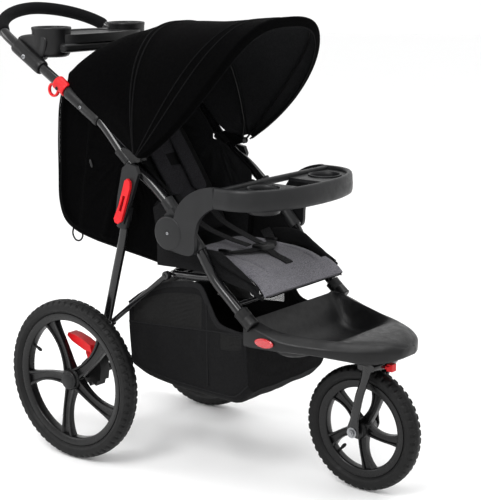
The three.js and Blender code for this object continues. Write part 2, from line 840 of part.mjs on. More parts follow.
// ---------------------------------------------------------------- seat
const railPoints = [
  at(-SEAT_RAIL_X, RAIL_PIVOT),
  at(-SEAT_RAIL_X, [-350, 489]),
  at(-SEAT_RAIL_X, [-285, 485]),
  at(-SEAT_RAIL_X + 4, [-246, 483]),
  at(-SEAT_RAIL_X + 30, BRACE_PIVOT),
  at(0, BRACE_PIVOT),
  at(SEAT_RAIL_X - 30, BRACE_PIVOT),
  at(SEAT_RAIL_X - 4, [-246, 483]),
  at(SEAT_RAIL_X, [-285, 485]),
  at(SEAT_RAIL_X, [-350, 489]),
  at(SEAT_RAIL_X, RAIL_PIVOT),
];
const railPins = SIDES.map(({ sign }) => crossRod(sign * 155, sign * 184, RAIL_PIVOT, 4, 10));
const railEyes = SIDES.map(({ sign }) => crossRod(sign * 151, sign * 169, RAIL_PIVOT, 12, 14));
const bracePins = SIDES.map(({ sign }) => crossRod(sign * 148, sign * 182, BRACE_PIVOT, 4, 10));
const seatRail = join(tube(railPoints, SEAT_RAIL_R, 22, 8), ...railPins, ...railEyes, ...bracePins);
addTo(newBody(), "seat_rail", seatRail, GLOSS_BLACK);

// A pad with rounded edges: rings run along its length, each one a squashed superellipse.
function pad(stations) {
  const rings = stations.map(({ centre, half, thick, up, x = 0 }) => {
    const count = 16;
    return Array.from({ length: count }, (_, i) => {
      const angle = (2 * Math.PI * i) / count;
      const c = Math.cos(angle);
      const s = Math.sin(angle);
      const across = Math.sign(c) * Math.abs(c) ** 0.45 * half;
      const rise = Math.sign(s) * Math.abs(s) ** 0.6 * (thick / 2);
      return new THREE.Vector3(x + across, centre[0] + up[0] * rise, centre[1] + up[1] * rise);
    });
  });
  return loft(rings);
}

const level = [0.08, 1];
const seatCushion = pad([
  { centre: [-214, 516], half: 128, thick: 22, up: level },
  { centre: [-240, 516], half: 138, thick: 34, up: level },
  { centre: [-340, 514], half: 145, thick: 36, up: level },
  { centre: [-440, 503], half: 146, thick: 36, up: [0.12, 1] },
  { centre: [-488, 486], half: 146, thick: 34, up: [0.4, 0.9] },
  { centre: [-510, 470], half: 140, thick: 20, up: [0.6, 0.7] },
]);
addTo(upperFrame, "seat_cushion", seatCushion, GREY_FABRIC);

for (const { side, sign } of SIDES) {
  const x = sign * 160;
  const bolster = pad([
    { centre: [-300, 541], half: 7, thick: 34, up: level, x },
    { centre: [-350, 538], half: 10, thick: 50, up: level, x },
    { centre: [-398, 533], half: 10.5, thick: 44, up: level, x },
    { centre: [-434, 514], half: 10.5, thick: 46, up: [0.35, 0.92], x },
    { centre: [-482, 485], half: 10.5, thick: 44, up: [0.4, 0.9], x },
    { centre: [-512, 465], half: 7, thick: 26, up: [0.6, 0.8], x },
  ]);
  addTo(upperFrame, `seat_bolster_${side}`, bolster, BLACK_FABRIC);
}

// Harness buckle on the seat, with its push button.
const BUCKLE = [-392, 534];
const buckleBody = cut(
  box(-24, 24, BUCKLE[0] - 20, BUCKLE[0] + 20, BUCKLE[1], BUCKLE[1] + 16),
  rod(new THREE.Vector3(0, BUCKLE[0], BUCKLE[1] + 8), new THREE.Vector3(0, BUCKLE[0], BUCKLE[1] + 20), 11 + GAP, 16),
);
addTo(upperFrame, "harness_buckle", buckleBody, MATTE_BLACK);
const buttonBody = newBody();
const button = rod(
  new THREE.Vector3(0, BUCKLE[0], BUCKLE[1] + 8 + 3.5),
  new THREE.Vector3(0, BUCKLE[0], BUCKLE[1] + 18),
  11,
  16,
);
addTo(buttonBody, "buckle_button", button, GREY_PLASTIC);

// Seat back, leaning away from the seat.
const seatBackBody = newBody();
const backUp = [-0.81, 0.58];
const backLine = (share) => [
  RECLINE_PIVOT[0] + 14 + 212 * share,
  RECLINE_PIVOT[1] + 34 + 322 * share,
];
const seatBack = pad([
  { centre: backLine(0), half: 118, thick: 18, up: backUp },
  { centre: backLine(0.1), half: 130, thick: 30, up: backUp },
  { centre: backLine(0.5), half: 138, thick: 32, up: backUp },
  { centre: backLine(0.9), half: 126, thick: 28, up: backUp },
  { centre: backLine(1), half: 110, thick: 14, up: backUp },
]);
addTo(seatBackBody, "seat_back_cushion", seatBack, GREY_FABRIC);

// Braces from the seat rail down to the rear legs.
const braceBody = newBody();
for (const { side, sign } of SIDES) {
  const bar = rod(at(sign * BRACE_X, BRACE_PIVOT), at(sign * BRACE_X, BRACE_FOOT), 6.5, 12);
  const eye = crossRod(sign * 170.5, sign * 183.5, BRACE_PIVOT, 10, 14);
  const foot = crossRod(sign * 170.5, sign * 183.5, BRACE_FOOT, 9, 14);
  const bore = crossRod(sign * 165, sign * 190, BRACE_PIVOT, 4 + GAP, 10);
  addTo(braceBody, `brace_${side}`, cut(join(bar, eye, foot), bore), GLOSS_BLACK);
}

// ---------------------------------------------------------------- canopy
// Each ring of the canopy is an arch in a plane through the side pivots. It is given by the
// point it reaches at the top, its half width at the foot and how square its shoulders are.
const CANOPY_RINGS = [
  { top: [70, 963], half: 205, power: 6 },
  { top: [13, 1013], half: 212, power: 3.4 },
  { top: [-59, 1050], half: 217, power: 2.6 },
  { top: [-137, 1069], half: 219, power: 2.3 },
  { top: [-228, 1077], half: 221, power: 2.7 },
  { top: [-340, 1083], half: 222, power: 3.0 },
  { top: [-460, 1089], half: 223, power: 3.2 },
];
const MIDDLE_BOW = CANOPY_RINGS[3];
const FRONT_BOW = CANOPY_RINGS[6];
const CANOPY_FOOT = 28; // the cloth stops this far short of the pivot
const BOW_WIRE_R = 2.5;
const BOW_HUB_R = 8;

function bowDirection({ top }) {
  const [dy, dz] = [top[0] - CANOPY_PIVOT[0], top[1] - CANOPY_PIVOT[1]];
  const rise = Math.hypot(dy, dz);
  return { rise, direction: [dy / rise, dz / rise] };
}

function bowPoints(ring, inset, count) {
  const { rise, direction } = bowDirection(ring);
  const start = Math.asin((CANOPY_FOOT / rise) ** (ring.power / 2));
  return archPoints(ring.half - inset, rise - inset, ring.power, count, start).map(
    ([x, up]) =>
      new THREE.Vector3(
        x,
        CANOPY_PIVOT[0] + up * direction[0],
        CANOPY_PIVOT[1] + up * direction[1],
      ),
  );
}

const canopyOuter = CANOPY_RINGS.map((ring) => bowPoints(ring, 0, 15));
const canopyInner = CANOPY_RINGS.map((ring) => bowPoints(ring, CANOPY_THICKNESS, 15));
addTo(upperFrame, "canopy_fabric", sheet(canopyOuter, canopyInner), CHARCOAL_FABRIC);

// Spring wire bows under the cloth. Each turns on the pins of the side clips.
const BOWS = [
  { name: "canopy_bow_middle", ring: MIDDLE_BOW, hubX: 199 },
  { name: "canopy_bow_front", ring: FRONT_BOW, hubX: 206.5 },
];
for (const { name, ring, hubX } of BOWS) {
  const { direction } = bowDirection(ring);
  const neck = CANOPY_PIVOT.map((value, k) => value + 15 * direction[k]);
  const wireInset = CANOPY_THICKNESS + BOW_WIRE_R + 4;
  const arch = bowPoints(ring, wireInset, 15);
  const route = [
    at(-hubX, CANOPY_PIVOT),
    at(-hubX, neck),
    ...arch,
    at(hubX, neck),
    at(hubX, CANOPY_PIVOT),
  ];
  const hubs = SIDES.map(({ sign }) =>
    crossRod(sign * (hubX - 1.5), sign * (hubX + 1.5), CANOPY_PIVOT, BOW_HUB_R, 12),
  );
  const pinBore = crossRod(-240, 240, CANOPY_PIVOT, 3 + GAP, 8);
  const bow = cut(join(tube(route, BOW_WIRE_R, 30, 6), ...hubs), pinBore);
  addTo(newBody(), name, bow, STEEL);
}

// Side clips: a thin collar on the handle tube with an ear and the pin for both bows.
for (const { side, sign } of SIDES) {
  const x = sign * TUBE_X;
  const collar = rod(at(x, [-136, 745.5]), at(x, [-104, 771]), 14.4, 12);
  const [py, pz] = CANOPY_PIVOT;
  const ear = slab(
    [
      [py - 9, pz - 4],
      [-138, 740],
      [-106, 770],
      [-124, 780],
      [py + 2, pz + 10],
      [py - 8, pz + 6],
    ],
    sign * 185,
    sign * 197,
  );
  const pin = crossRod(sign * 190, sign * 209, CANOPY_PIVOT, 3, 8);
  addTo(upperFrame, `canopy_clip_${side}`, cut(join(collar, ear, pin), handleClearance), MATTE_BLACK);
}

// Back fabric: a tub of cloth behind and beside the seat, open to the front and the top.
const BACK_HALF = 168;
const backOutline = [
  [-226, 497],
  [-150, 508],
  [-60, 520],
  [20, 532],
  [80, 548],
  [116, 572],
  [132, 615],
  [133, 700],
  [131, 790],
  [127, 870],
  [113, 925],
  [88, 950],
  [58, 886],
  [-40, 826],
  [-92, 778],
  [-158, 716],
  [-202, 690],
  [-240, 655],
];
const backHollow = [
  [-260, 497],
  [-226, 501],
  [-150, 512],
  [-60, 524],
  [19, 536],
  [77, 552],
  [112, 575],
  [128, 616],
  [129, 700],
  [127, 790],
  [123, 869],
  [110, 922],
  [80, 946],
  [40, 990],
  [-260, 860],
];
const backTub = cut(
  slab(backOutline, -BACK_HALF, BACK_HALF),
  slab(backHollow, -BACK_HALF + 4, BACK_HALF - 4),
);
addTo(upperFrame, "back_fabric", backTub, CHARCOAL_FABRIC);

// ---------------------------------------------------------------- basket
const basketSection = (y, top, half, bottom, floorHalf) => [
  new THREE.Vector3(-half, y, top),
  new THREE.Vector3(-half, y, (top + bottom) / 2),
  new THREE.Vector3(-half * 0.97, y, bottom + 26),
  new THREE.Vector3(-floorHalf, y, bottom),
  new THREE.Vector3(floorHalf, y, bottom),
  new THREE.Vector3(half * 0.97, y, bottom + 26),
  new THREE.Vector3(half, y, (top + bottom) / 2),
  new THREE.Vector3(half, y, top),
];
const basketOuter = loft([
  basketSection(-112, 372, 164, 226, 140),
  basketSection(-170, 400, 166, 205, 142),
  basketSection(-330, 420, 166, 193, 142),
  basketSection(-346, 372, 166, 192, 142),
  basketSection(-430, 368, 166, 193, 142),
  basketSection(-466, 366, 164, 226, 140),
]);
const basketInner = loft([
  basketSection(-117, 460, 160, 232, 134),
  basketSection(-170, 460, 162, 209, 138),
  basketSection(-330, 460, 162, 197, 138),
  basketSection(-346, 460, 162, 196, 138),
  basketSection(-428, 460, 162, 198, 138),
  basketSection(-461, 460, 160, 232, 134),
]);
addTo(rearFrame, "basket", cut(basketOuter, basketInner), BLACK_FABRIC);

// ---------------------------------------------------------------- placement
const FOOTPRINT_MIDDLE_Y = -225.8;
stroller.position.y = -FOOTPRINT_MIDDLE_Y;

const group = new THREE.Group();
group.add(stroller);

export default group;
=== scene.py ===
import math

import bmesh
import bpy
import numpy as np
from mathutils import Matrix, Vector


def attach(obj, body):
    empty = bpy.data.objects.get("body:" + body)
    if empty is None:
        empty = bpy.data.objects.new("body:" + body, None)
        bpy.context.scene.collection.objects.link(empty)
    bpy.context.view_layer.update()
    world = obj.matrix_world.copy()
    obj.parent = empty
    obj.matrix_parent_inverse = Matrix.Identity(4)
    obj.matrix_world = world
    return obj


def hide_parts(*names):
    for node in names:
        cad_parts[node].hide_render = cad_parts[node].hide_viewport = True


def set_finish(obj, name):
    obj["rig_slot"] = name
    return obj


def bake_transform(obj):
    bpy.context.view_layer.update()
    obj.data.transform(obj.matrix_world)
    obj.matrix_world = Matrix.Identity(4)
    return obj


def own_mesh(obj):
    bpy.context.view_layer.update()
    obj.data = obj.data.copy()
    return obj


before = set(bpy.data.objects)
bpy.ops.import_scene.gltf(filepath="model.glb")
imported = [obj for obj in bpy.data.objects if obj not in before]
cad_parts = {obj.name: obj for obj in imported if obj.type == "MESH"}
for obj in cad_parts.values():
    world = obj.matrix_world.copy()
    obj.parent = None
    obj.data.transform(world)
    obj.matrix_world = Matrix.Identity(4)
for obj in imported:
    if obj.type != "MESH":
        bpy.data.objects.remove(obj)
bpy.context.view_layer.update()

# ---------------------------------------------------------------- driving dimensions
AXLE_Y = 225.8  # place of the rear axle along Y in the shared frame
SIDES = [("right", -1), ("left", 1)]

TUBE_X = 187  # middle of the handle tube and the front tubes
TUBE_R = 12.5
LEG_X = 196  # middle of the rear legs
SLEEVE_R = 16.5
CLAMP_BORE = 12.9  # parts clamped round a tube are bored to this radius
ARM_X = 209.3  # inner face of the tray arms and their joint discs
RAIL_X = 160
BRACE_X = 177

REAR_WHEEL = {"radius": 200, "half": 23, "groove": 167.6, "open": 148.5, "y": 0, "z": 200}
FRONT_WHEEL = {"radius": 150, "half": 21.5, "groove": 117.5, "open": 98, "y": -686, "z": 150}
REAR_AXLE = (0, REAR_WHEEL["y"], REAR_WHEEL["z"])
FRONT_AXLE = (0, FRONT_WHEEL["y"], FRONT_WHEEL["z"])
REAR_TRACK_X = 257
STEER_AXIS = (0, -722, 0)

# Pivots and ends of the side linkage, as (y, z).
FRONT_PIVOT = (-280, 596)
MAIN_PIVOT = (-158, 728)
RAIL_PIVOT = (-393, 496)
BRACE_PIVOT = (-238, 482)
BRACE_FOOT = (-58, 337)
CANOPY_PIVOT = (-178, 758)
SPLIT = (-299, 614)  # where the upper tube meets the front tube
TUBE_DIRECTION = (-0.684, -0.729)

SEAT_BACK_FOOT = (-198, 546)
SEAT_BACK_RISE = (212, 322)
SEAT_BACK_NORMAL = (-0.81, 0.58)

CAMERA_AZIMUTH = -52.118
CAMERA_PITCH = 12.373
CAMERA_PLACE = (-2.66599, -2.17101, 1.26512)
CAMERA_LENS = 102.5


# ---------------------------------------------------------------- curves and meshes
def in_frame(points):
    """Points in mm from the axle as metres in the shared frame."""
    placed = np.array(points, float)
    placed[:, 1] += AXLE_Y
    return placed / 1000


def point(x, yz):
    return (x, yz[0], yz[1])


def mirrored(half, *middle):
    """A line across the stroller: one half, the middle, and the half on the other side."""
    return [*half, *middle, *[(-p[0], *p[1:]) for p in half[::-1]]]


def placed(*spot):
    """One point in mm from the axle as metres in the shared frame."""
    return tuple(in_frame([spot])[0])


def along(start, distance):
    """A point further down the front tube's line."""
    return (start[0] + TUBE_DIRECTION[0] * distance, start[1] + TUBE_DIRECTION[1] * distance)


def smooth_line(points, spacing=6.0, closed=False):
    """Evenly spaced points on a centripetal Catmull-Rom curve through the given ones."""
    given = np.array(points, float)
    if closed:
        held = np.vstack([given[-1], given, given[0], given[1]])
    else:
        held = np.vstack([2 * given[0] - given[1], given, 2 * given[-1] - given[-2]])
    line = []
    for p0, p1, p2, p3 in zip(held, held[1:], held[2:], held[3:]):
        t0 = 0.0
        t1 = t0 + np.linalg.norm(p1 - p0) ** 0.5
        t2 = t1 + np.linalg.norm(p2 - p1) ** 0.5
        t3 = t2 + np.linalg.norm(p3 - p2) ** 0.5
        steps = max(2, int(np.linalg.norm(p2 - p1) / spacing) + 1)
        for t in np.linspace(t1, t2, steps, endpoint=False):
            a1 = (t1 - t) / (t1 - t0) * p0 + (t - t0) / (t1 - t0) * p1
            a2 = (t2 - t) / (t2 - t1) * p1 + (t - t1) / (t2 - t1) * p2
            a3 = (t3 - t) / (t3 - t2) * p2 + (t - t2) / (t3 - t2) * p3
            b1 = (t2 - t) / (t2 - t0) * a1 + (t - t0) / (t2 - t0) * a2
            b2 = (t3 - t) / (t3 - t1) * a2 + (t - t1) / (t3 - t1) * a3
            line.append((t2 - t) / (t2 - t1) * b1 + (t - t1) / (t2 - t1) * b2)
    if not closed:
        line.append(given[-1])
    return np.array(line)


def circle(radius, count, squash=1.0, power=2.0):
    """A ring of (side, up) offsets. A power above 2 makes it squarer."""
    angles = np.linspace(0, 2 * math.pi, count, endpoint=False)
    c, s = np.cos(angles), np.sin(angles)
    side = np.sign(c) * np.abs(c) ** (2 / power)
    up = np.sign(s) * np.abs(s) ** (2 / power)
    return np.stack([side * radius, up * radius * squash], 1)


def strap_section(width, thickness):
    return circle(width / 2, 16, thickness / width, 5.0)


def grid_faces(rows, columns, wrap_rows=False, wrap_columns=False):
    faces = []
    for i in range(rows if wrap_rows else rows - 1):
        for j in range(columns if wrap_columns else columns - 1):
            k, m = (i + 1) % rows, (j + 1) % columns
            faces.append((i * columns + j, i * columns + m, k * columns + m, k * columns + j))
    return faces


def loft(rings, closed=False):
    """A solid through rings that all have the same number of points."""
    rings = np.array(rings, float)
    rows, columns = rings.shape[:2]
    faces = grid_faces(rows, columns, closed, True)
    if not closed:
        faces.append(tuple(range(columns))[::-1])
        faces.append(tuple((rows - 1) * columns + j for j in range(columns)))
    return rings.reshape(-1, 3), faces


def sweep(line, section, across=None, sizes=None, closed=False):
    """A section carried along a line. across fixes which way the section's side points."""
    line = np.array(line, float)
    if closed:
        tangents = np.roll(line, -1, 0) - np.roll(line, 1, 0)
    else:
        tangents = np.gradient(line, axis=0)
    tangents /= np.linalg.norm(tangents, axis=1)[:, None]
    side = np.array(across if across is not None else (1.0, 0.13, 0.07), float)
    rings = []
    for i, (place, tangent) in enumerate(zip(line, tangents)):
        if across is not None:
            side = np.array(across, float)
        side = side - tangent * (side @ tangent)
        side /= np.linalg.norm(side)
        up = np.cross(tangent, side)
        scale = 1.0 if sizes is None else sizes[i]
        rings.append(place + scale * (np.outer(section[:, 0], side) + np.outer(section[:, 1], up)))
    return loft(rings, closed)


def rounded_ends(count, share=0.12):
    """Scale factors that close the two ends of a sweep in a rounded way."""
    t = np.linspace(0, 1, count)
    near = np.clip(np.minimum(t, 1 - t) / share, 0, 1)
    return 0.3 + 0.7 * np.sqrt(1 - (1 - near) ** 2)


def lathe(profile, centre, axis="x", sides=48, closed=False):
    """A profile of (radius, place along the axis) turned about the axis through centre."""
    angles = np.linspace(0, 2 * math.pi, sides, endpoint=False)
    rings = []
    for radius, place in profile:
        c, s = radius * np.cos(angles), radius * np.sin(angles)
        run = np.full(sides, float(place))
        ring = {"x": (run, c, s), "z": (c, s, run)}[axis]
        rings.append(np.stack(ring, 1) + np.array(centre, float))
    return loft(rings, closed)


def slab(outline, x_from, x_to):
    """A side outline of (y, z) points made thick across X."""
    rings = [[(x, y, z) for y, z in outline] for x in (x_from, x_to)]
    return loft(rings)


def column(outline, z_from, z_to):
    """A plan outline of (x, y) points made tall along Z."""
    rings = [[(x, y, z) for x, y in outline] for z in (z_from, z_to)]
    return loft(rings)


def merged(*parts):
    """Several (points, faces) meshes as one."""
    points, faces, start = [], [], 0
    for part_points, part_faces in parts:
        points.append(np.array(part_points, float))
        faces += [tuple(v + start for v in face) for face in part_faces]
        start += len(part_points)
    return np.vstack(points), faces


def turned(part, centre, degrees):
    """A mesh turned about the line along X through centre, given as (y, z)."""
    points = np.array(part[0], float)
    c, s = math.cos(math.radians(degrees)), math.sin(math.radians(degrees))
    y, z = points[:, 1] - centre[0], points[:, 2] - centre[1]
    points[:, 1] = centre[0] + y * c - z * s
    points[:, 2] = centre[1] + y * s + z * c
    return points, part[1]


# ---------------------------------------------------------------- pieces
def bake_modifiers(obj):
    """Replaces the mesh by what its modifiers make of it."""
    graph = bpy.context.evaluated_depsgraph_get()
    made = bpy.data.meshes.new_from_object(obj.evaluated_get(graph))
    obj.modifiers.clear()
    obj.data = made


def linked(name, data):
    """A new object in the scene."""
    obj = bpy.data.objects.new(name, data)
    bpy.context.scene.collection.objects.link(obj)
    return obj


def bare_object(name, part, sharp_angle=38):
    """An object with no material yet, smooth but for edges sharper than the angle."""
    points, faces = part
    mesh = bpy.data.meshes.new(name)
    mesh.from_pydata([tuple(p) for p in in_frame(points)], [], faces)
    shape = bmesh.new()
    shape.from_mesh(mesh)
    bmesh.ops.recalc_face_normals(shape, faces=shape.faces)
    shape.to_mesh(mesh)
    shape.free()
    mesh.shade_smooth()
    if sharp_angle:
        mesh.set_sharp_from_angle(angle=math.radians(sharp_angle))
    obj = linked(name, mesh)
    return obj


def bevel(obj, width, segments=3, angle=35):
    edge = obj.modifiers.new("edge", "BEVEL")
    edge.width = width / 1000
    edge.segments = segments
    edge.limit_method = "ANGLE"
    edge.angle_limit = math.radians(angle)
    edge.harden_normals = True


def cut_away(obj, *tools):
    """Cuts each tool mesh out of the piece."""
    for k, tool in enumerate(tools):
        cutter = bare_object(f"cutter_{k}", tool)
        hole = obj.modifiers.new("hole", "BOOLEAN")
        hole.operation = "DIFFERENCE"
        hole.solver = "EXACT"
        hole.object = cutter
        bake_modifiers(obj)
        bpy.data.objects.remove(cutter)
    obj.data.shade_smooth()
    obj.data.set_sharp_from_angle(angle=math.radians(35))


def settle(obj, look, body, stands_for=()):
    """Gives a piece its material and record slot, and lets it ride on a CAD body."""
    material, slot = LOOKS[look]
    obj.data.materials.clear()
    obj.data.materials.append(material)
    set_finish(obj, slot)
    if body:
        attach(obj, body)
    if stands_for:
        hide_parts(*stands_for)
    return obj


def piece(name, part, look, body, stands_for=(), edge=0, sharp_angle=38):
    """A finished piece; edge is the width of its bevel in mm."""
    obj = bare_object(name, part, sharp_angle)
    if edge:
        bevel(obj, edge)
    return settle(obj, look, body, stands_for)


def dress(node, look, edge=0.8):
    """A CAD node keeps its shape, with softened edges and a finished material."""
    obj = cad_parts[node]
    mesh = obj.data
    for layer in ("custom_normal", "sharp_edge", "sharp_face"):
        if layer in mesh.attributes:
            mesh.attributes.remove(mesh.attributes[layer])
    mesh.shade_smooth()
    weld = obj.modifiers.new("weld", "WELD")
    weld.merge_threshold = 1e-5
    bevel(obj, edge, 2, 30)
    normals = obj.modifiers.new("normals", "WEIGHTED_NORMAL")
    normals.keep_sharp = True
    mesh.materials.clear()
    mesh.materials.append(LOOKS[look][0])
    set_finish(obj, LOOKS[look][1])


# ---------------------------------------------------------------- materials
# Blender's wave texture repeats every 314 mm divided by its scale.
WAVE_PITCH = 314


class Nodes:
    """Short ways to add the shader nodes that the materials share."""

    def __init__(self, name):
        self.material = bpy.data.materials.new(name)
        self.material.use_nodes = True
        self.tree = self.material.node_tree
        self.shader = self.tree.nodes["Principled BSDF"]
        self.coordinates = self.add("ShaderNodeTexCoord")

    def add(self, kind, **settings):
        node = self.tree.nodes.new(kind)
        for key, value in settings.items():
            setattr(node, key, value)
        return node

    def link(self, output, target):
        self.tree.links.new(output, target)

    def noise(self, scale, detail=3.0, where="Object", stretch=None):
        node = self.add("ShaderNodeTexNoise")
        node.inputs["Scale"].default_value = scale
        node.inputs["Detail"].default_value = detail
        source = self.coordinates.outputs[where]
        if stretch:
            mapping = self.add("ShaderNodeMapping")
            mapping.inputs["Scale"].default_value = stretch
            self.link(source, mapping.inputs["Vector"])
            source = mapping.outputs["Vector"]
        self.link(source, node.inputs["Vector"])
        return node.outputs["Fac"]

    def ranged(self, value, low, high, from_low=0.3, from_high=0.7):
        node = self.add("ShaderNodeMapRange")
        node.inputs["From Min"].default_value = from_low
        node.inputs["From Max"].default_value = from_high
        node.inputs["To Min"].default_value = low
        node.inputs["To Max"].default_value = high
        self.link(value, node.inputs["Value"])
        return node.outputs["Result"]

    def maths(self, operation, first, second):
        node = self.add("ShaderNodeMath", operation=operation)
        for socket, value in zip(node.inputs, (first, second)):
            if isinstance(value, (int, float)):
                socket.default_value = value
            else:
                self.link(value, socket)
        return node.outputs["Value"]

    def blend_colours(self, share, first, second):
        node = self.add("ShaderNodeMix", data_type="RGBA")
        for socket, value in ((node.inputs[6], first), (node.inputs[7], second)):
            if isinstance(value, tuple):
                socket.default_value = (*value, 1)
            else:
                self.link(value, socket)
        self.link(share, node.inputs[0])
        return node.outputs[2]

    def bump(self, height, distance, strength=1.0, below=None):
        node = self.add("ShaderNodeBump")
        node.inputs["Distance"].default_value = distance
        node.inputs["Strength"].default_value = strength
        self.link(height, node.inputs["Height"])
        if below:
            self.link(below, node.inputs["Normal"])
        return node.outputs["Normal"]

    def wave(self, direction, scale, where="Object", distortion=0.0):
        node = self.add("ShaderNodeTexWave", bands_direction=direction)
        node.inputs["Scale"].default_value = scale
        node.inputs["Distortion"].default_value = distortion
        node.inputs["Detail"].default_value = 1.0
        self.link(self.coordinates.outputs[where], node.inputs["Vector"])
        return node.outputs["Fac"]

    def set(self, **values):
        for key, value in values.items():
            self.shader.inputs[key.replace("_", " ")].default_value = value

    def output(self, **links):
        for key, value in links.items():
            self.link(value, self.shader.inputs[key.replace("_", " ")])


def shade(colour, factor):
    return tuple(min(1.0, channel * factor) for channel in colour)


def moulded(name, colour, rough, grain=0.00012, grain_scale=1400, wear=1.8, level=0.25):
    """Moulded plastic: fine grain, uneven polish and slightly rubbed edges."""
    n = Nodes(name)
    patches = n.noise(22, 4)
    base = n.blend_colours(n.ranged(patches, 0, 1), shade(colour, 0.82), shade(colour, 1.18))
    pointed = n.add("ShaderNodeNewGeometry").outputs["Pointiness"]
    rubbed = n.ranged(pointed, 0, 0.55, 0.52, 0.62)
    n.output(Base_Color=n.blend_colours(rubbed, base, shade(colour, wear)))
    n.output(Roughness=n.ranged(n.noise(60, 5), rough - 0.07, rough + 0.09))
    coarse = n.bump(n.noise(160, 2), grain * 1.4)
    n.output(Normal=n.bump(n.noise(grain_scale, 2), grain, 0.8, coarse))
    n.set(Specular_IOR_Level=level)
    return n.material


def lacquered(name, colour, rough):
    """Gloss paint on a steel tube, with a faint orange-peel surface."""
    n = Nodes(name)
    patches = n.noise(30, 4)
    n.output(Base_Color=n.blend_colours(n.ranged(patches, 0, 1), shade(colour, 0.8), shade(colour, 1.25)))
    n.output(Roughness=n.ranged(n.noise(240, 5), rough - 0.04, rough + 0.1))
    n.output(Normal=n.bump(n.noise(420, 2), 0.00006))
    n.set(Coat_Weight=0.35, Coat_Roughness=0.08, Specular_IOR_Level=0.25)
    return n.material


def rubber(name, colour, rough):
    n = Nodes(name)
    dust = n.noise(14, 6)
    base = n.blend_colours(n.ranged(dust, 0, 1), shade(colour, 0.75), shade(colour, 1.4))
    n.output(Base_Color=base)
    n.output(Roughness=n.ranged(n.noise(90, 5), rough - 0.1, rough + 0.06))
    n.output(Normal=n.bump(n.noise(700, 3), 0.0002, 0.9, n.bump(n.noise(60, 3), 0.0003)))
    n.set(Specular_IOR_Level=0.2)
    return n.material


def foam(name, colour):
    n = Nodes(name)
    cells = n.add("ShaderNodeTexVoronoi")
    cells.inputs["Scale"].default_value = 520
    n.link(n.coordinates.outputs["Object"], cells.inputs["Vector"])
    n.output(Base_Color=n.blend_colours(cells.outputs["Distance"], shade(colour, 0.6), shade(colour, 1.5)))
    n.output(Roughness=n.ranged(n.noise(70, 4), 0.86, 0.98))
    n.output(Normal=n.bump(cells.outputs["Distance"], 0.0007, 0.9, n.bump(n.noise(40, 4), 0.0012)))
    n.set(Specular_IOR_Level=0.08)
    return n.material


def cloth(name, dark, light, thread=1.5, where="Object", sheen=0.015, melange=420, depth=0.00035,
          level=0.08):
    """Woven polyester: a plain weave of the given thread pitch in mm, with flecked yarn."""
    n = Nodes(name)
    scale = WAVE_PITCH / thread
    weave = n.maths("MAXIMUM", n.wave("X", scale, where, 0.4), n.wave("Y", scale, where, 0.4))
    if where == "Object":
        weave = n.maths("MAXIMUM", weave, n.wave("Z", scale, where, 0.4))
    flecks = n.ranged(n.noise(melange, 5), 0, 1, 0.38, 0.62)
    base = n.blend_colours(flecks, dark, light)
    clouds = n.ranged(n.noise(9, 4), 0, 0.35)
    n.output(Base_Color=n.blend_colours(clouds, base, shade(dark, 0.7)))
    n.output(Roughness=n.ranged(n.noise(150, 4), 0.8, 0.97))
    puckers = n.bump(n.noise(38, 3), 0.0016, 0.6)
    n.output(Normal=n.bump(weave, depth, 0.7, n.bump(n.noise(melange, 3), depth, 0.6, puckers)))
    n.set(Specular_IOR_Level=level, Sheen_Weight=sheen, Sheen_Roughness=0.5)
    return n.material


def netting(name, colour, pitch):
    """Open mesh cloth: round holes between knitted threads."""
    n = Nodes(name)
    scale = WAVE_PITCH / pitch
    holes = n.maths("MINIMUM", n.wave("X", scale, "UV"), n.wave("Y", scale, "UV"))
    threads = n.maths("LESS_THAN", holes, 0.36)
    n.output(Alpha=threads)
    n.output(Base_Color=n.blend_colours(n.noise(300, 3), shade(colour, 0.7), shade(colour, 1.4)))
    n.output(Roughness=n.ranged(n.noise(200, 3), 0.7, 0.9))
    n.output(Normal=n.bump(holes, 0.0004))
    n.set(Specular_IOR_Level=0.25)
    return n.material


def webbing(name, colour, thread=1.3):
    """Woven strap: fine diagonal ribs."""
    n = Nodes(name)
    ribs = n.maths("MAXIMUM", n.wave("DIAGONAL", WAVE_PITCH / thread, distortion=0.3), n.noise(900, 3))
    n.output(Base_Color=n.blend_colours(ribs, shade(colour, 0.6), shade(colour, 1.5)))
    n.output(Roughness=n.ranged(n.noise(150, 3), 0.6, 0.8))
    n.output(Normal=n.bump(ribs, 0.0004))
    n.set(Specular_IOR_Level=0.12, Sheen_Weight=0.02)
    return n.material


def bright_metal(name, colour, rough):
    n = Nodes(name)
    brushed = n.noise(90, 5, stretch=(1, 14, 14))
    n.output(Base_Color=n.blend_colours(brushed, shade(colour, 0.75), shade(colour, 1.1)))
    n.output(Roughness=n.ranged(brushed, rough - 0.08, rough + 0.12))
    n.output(Normal=n.bump(brushed, 0.00008))
    n.set(Metallic=1.0)
    return n.material


def prism_reflector(name, colour):
    """Clear red plastic over a honeycomb of tiny prisms."""
    n = Nodes(name)
    cells = n.add("ShaderNodeTexVoronoi", feature="DISTANCE_TO_EDGE")
    cells.inputs["Scale"].default_value = 330
    cells.inputs["Randomness"].default_value = 0.15
    n.link(n.coordinates.outputs["Object"], cells.inputs["Vector"])
    lines = n.ranged(cells.outputs["Distance"], 0, 1, 0.0, 0.3)
    n.output(Base_Color=n.blend_colours(lines, shade(colour, 0.45), colour))
    n.output(Roughness=n.ranged(n.noise(60, 3), 0.12, 0.28))
    n.output(Normal=n.bump(lines, 0.0006))
    n.set(Coat_Weight=1.0, Coat_Roughness=0.05)
    return n.material


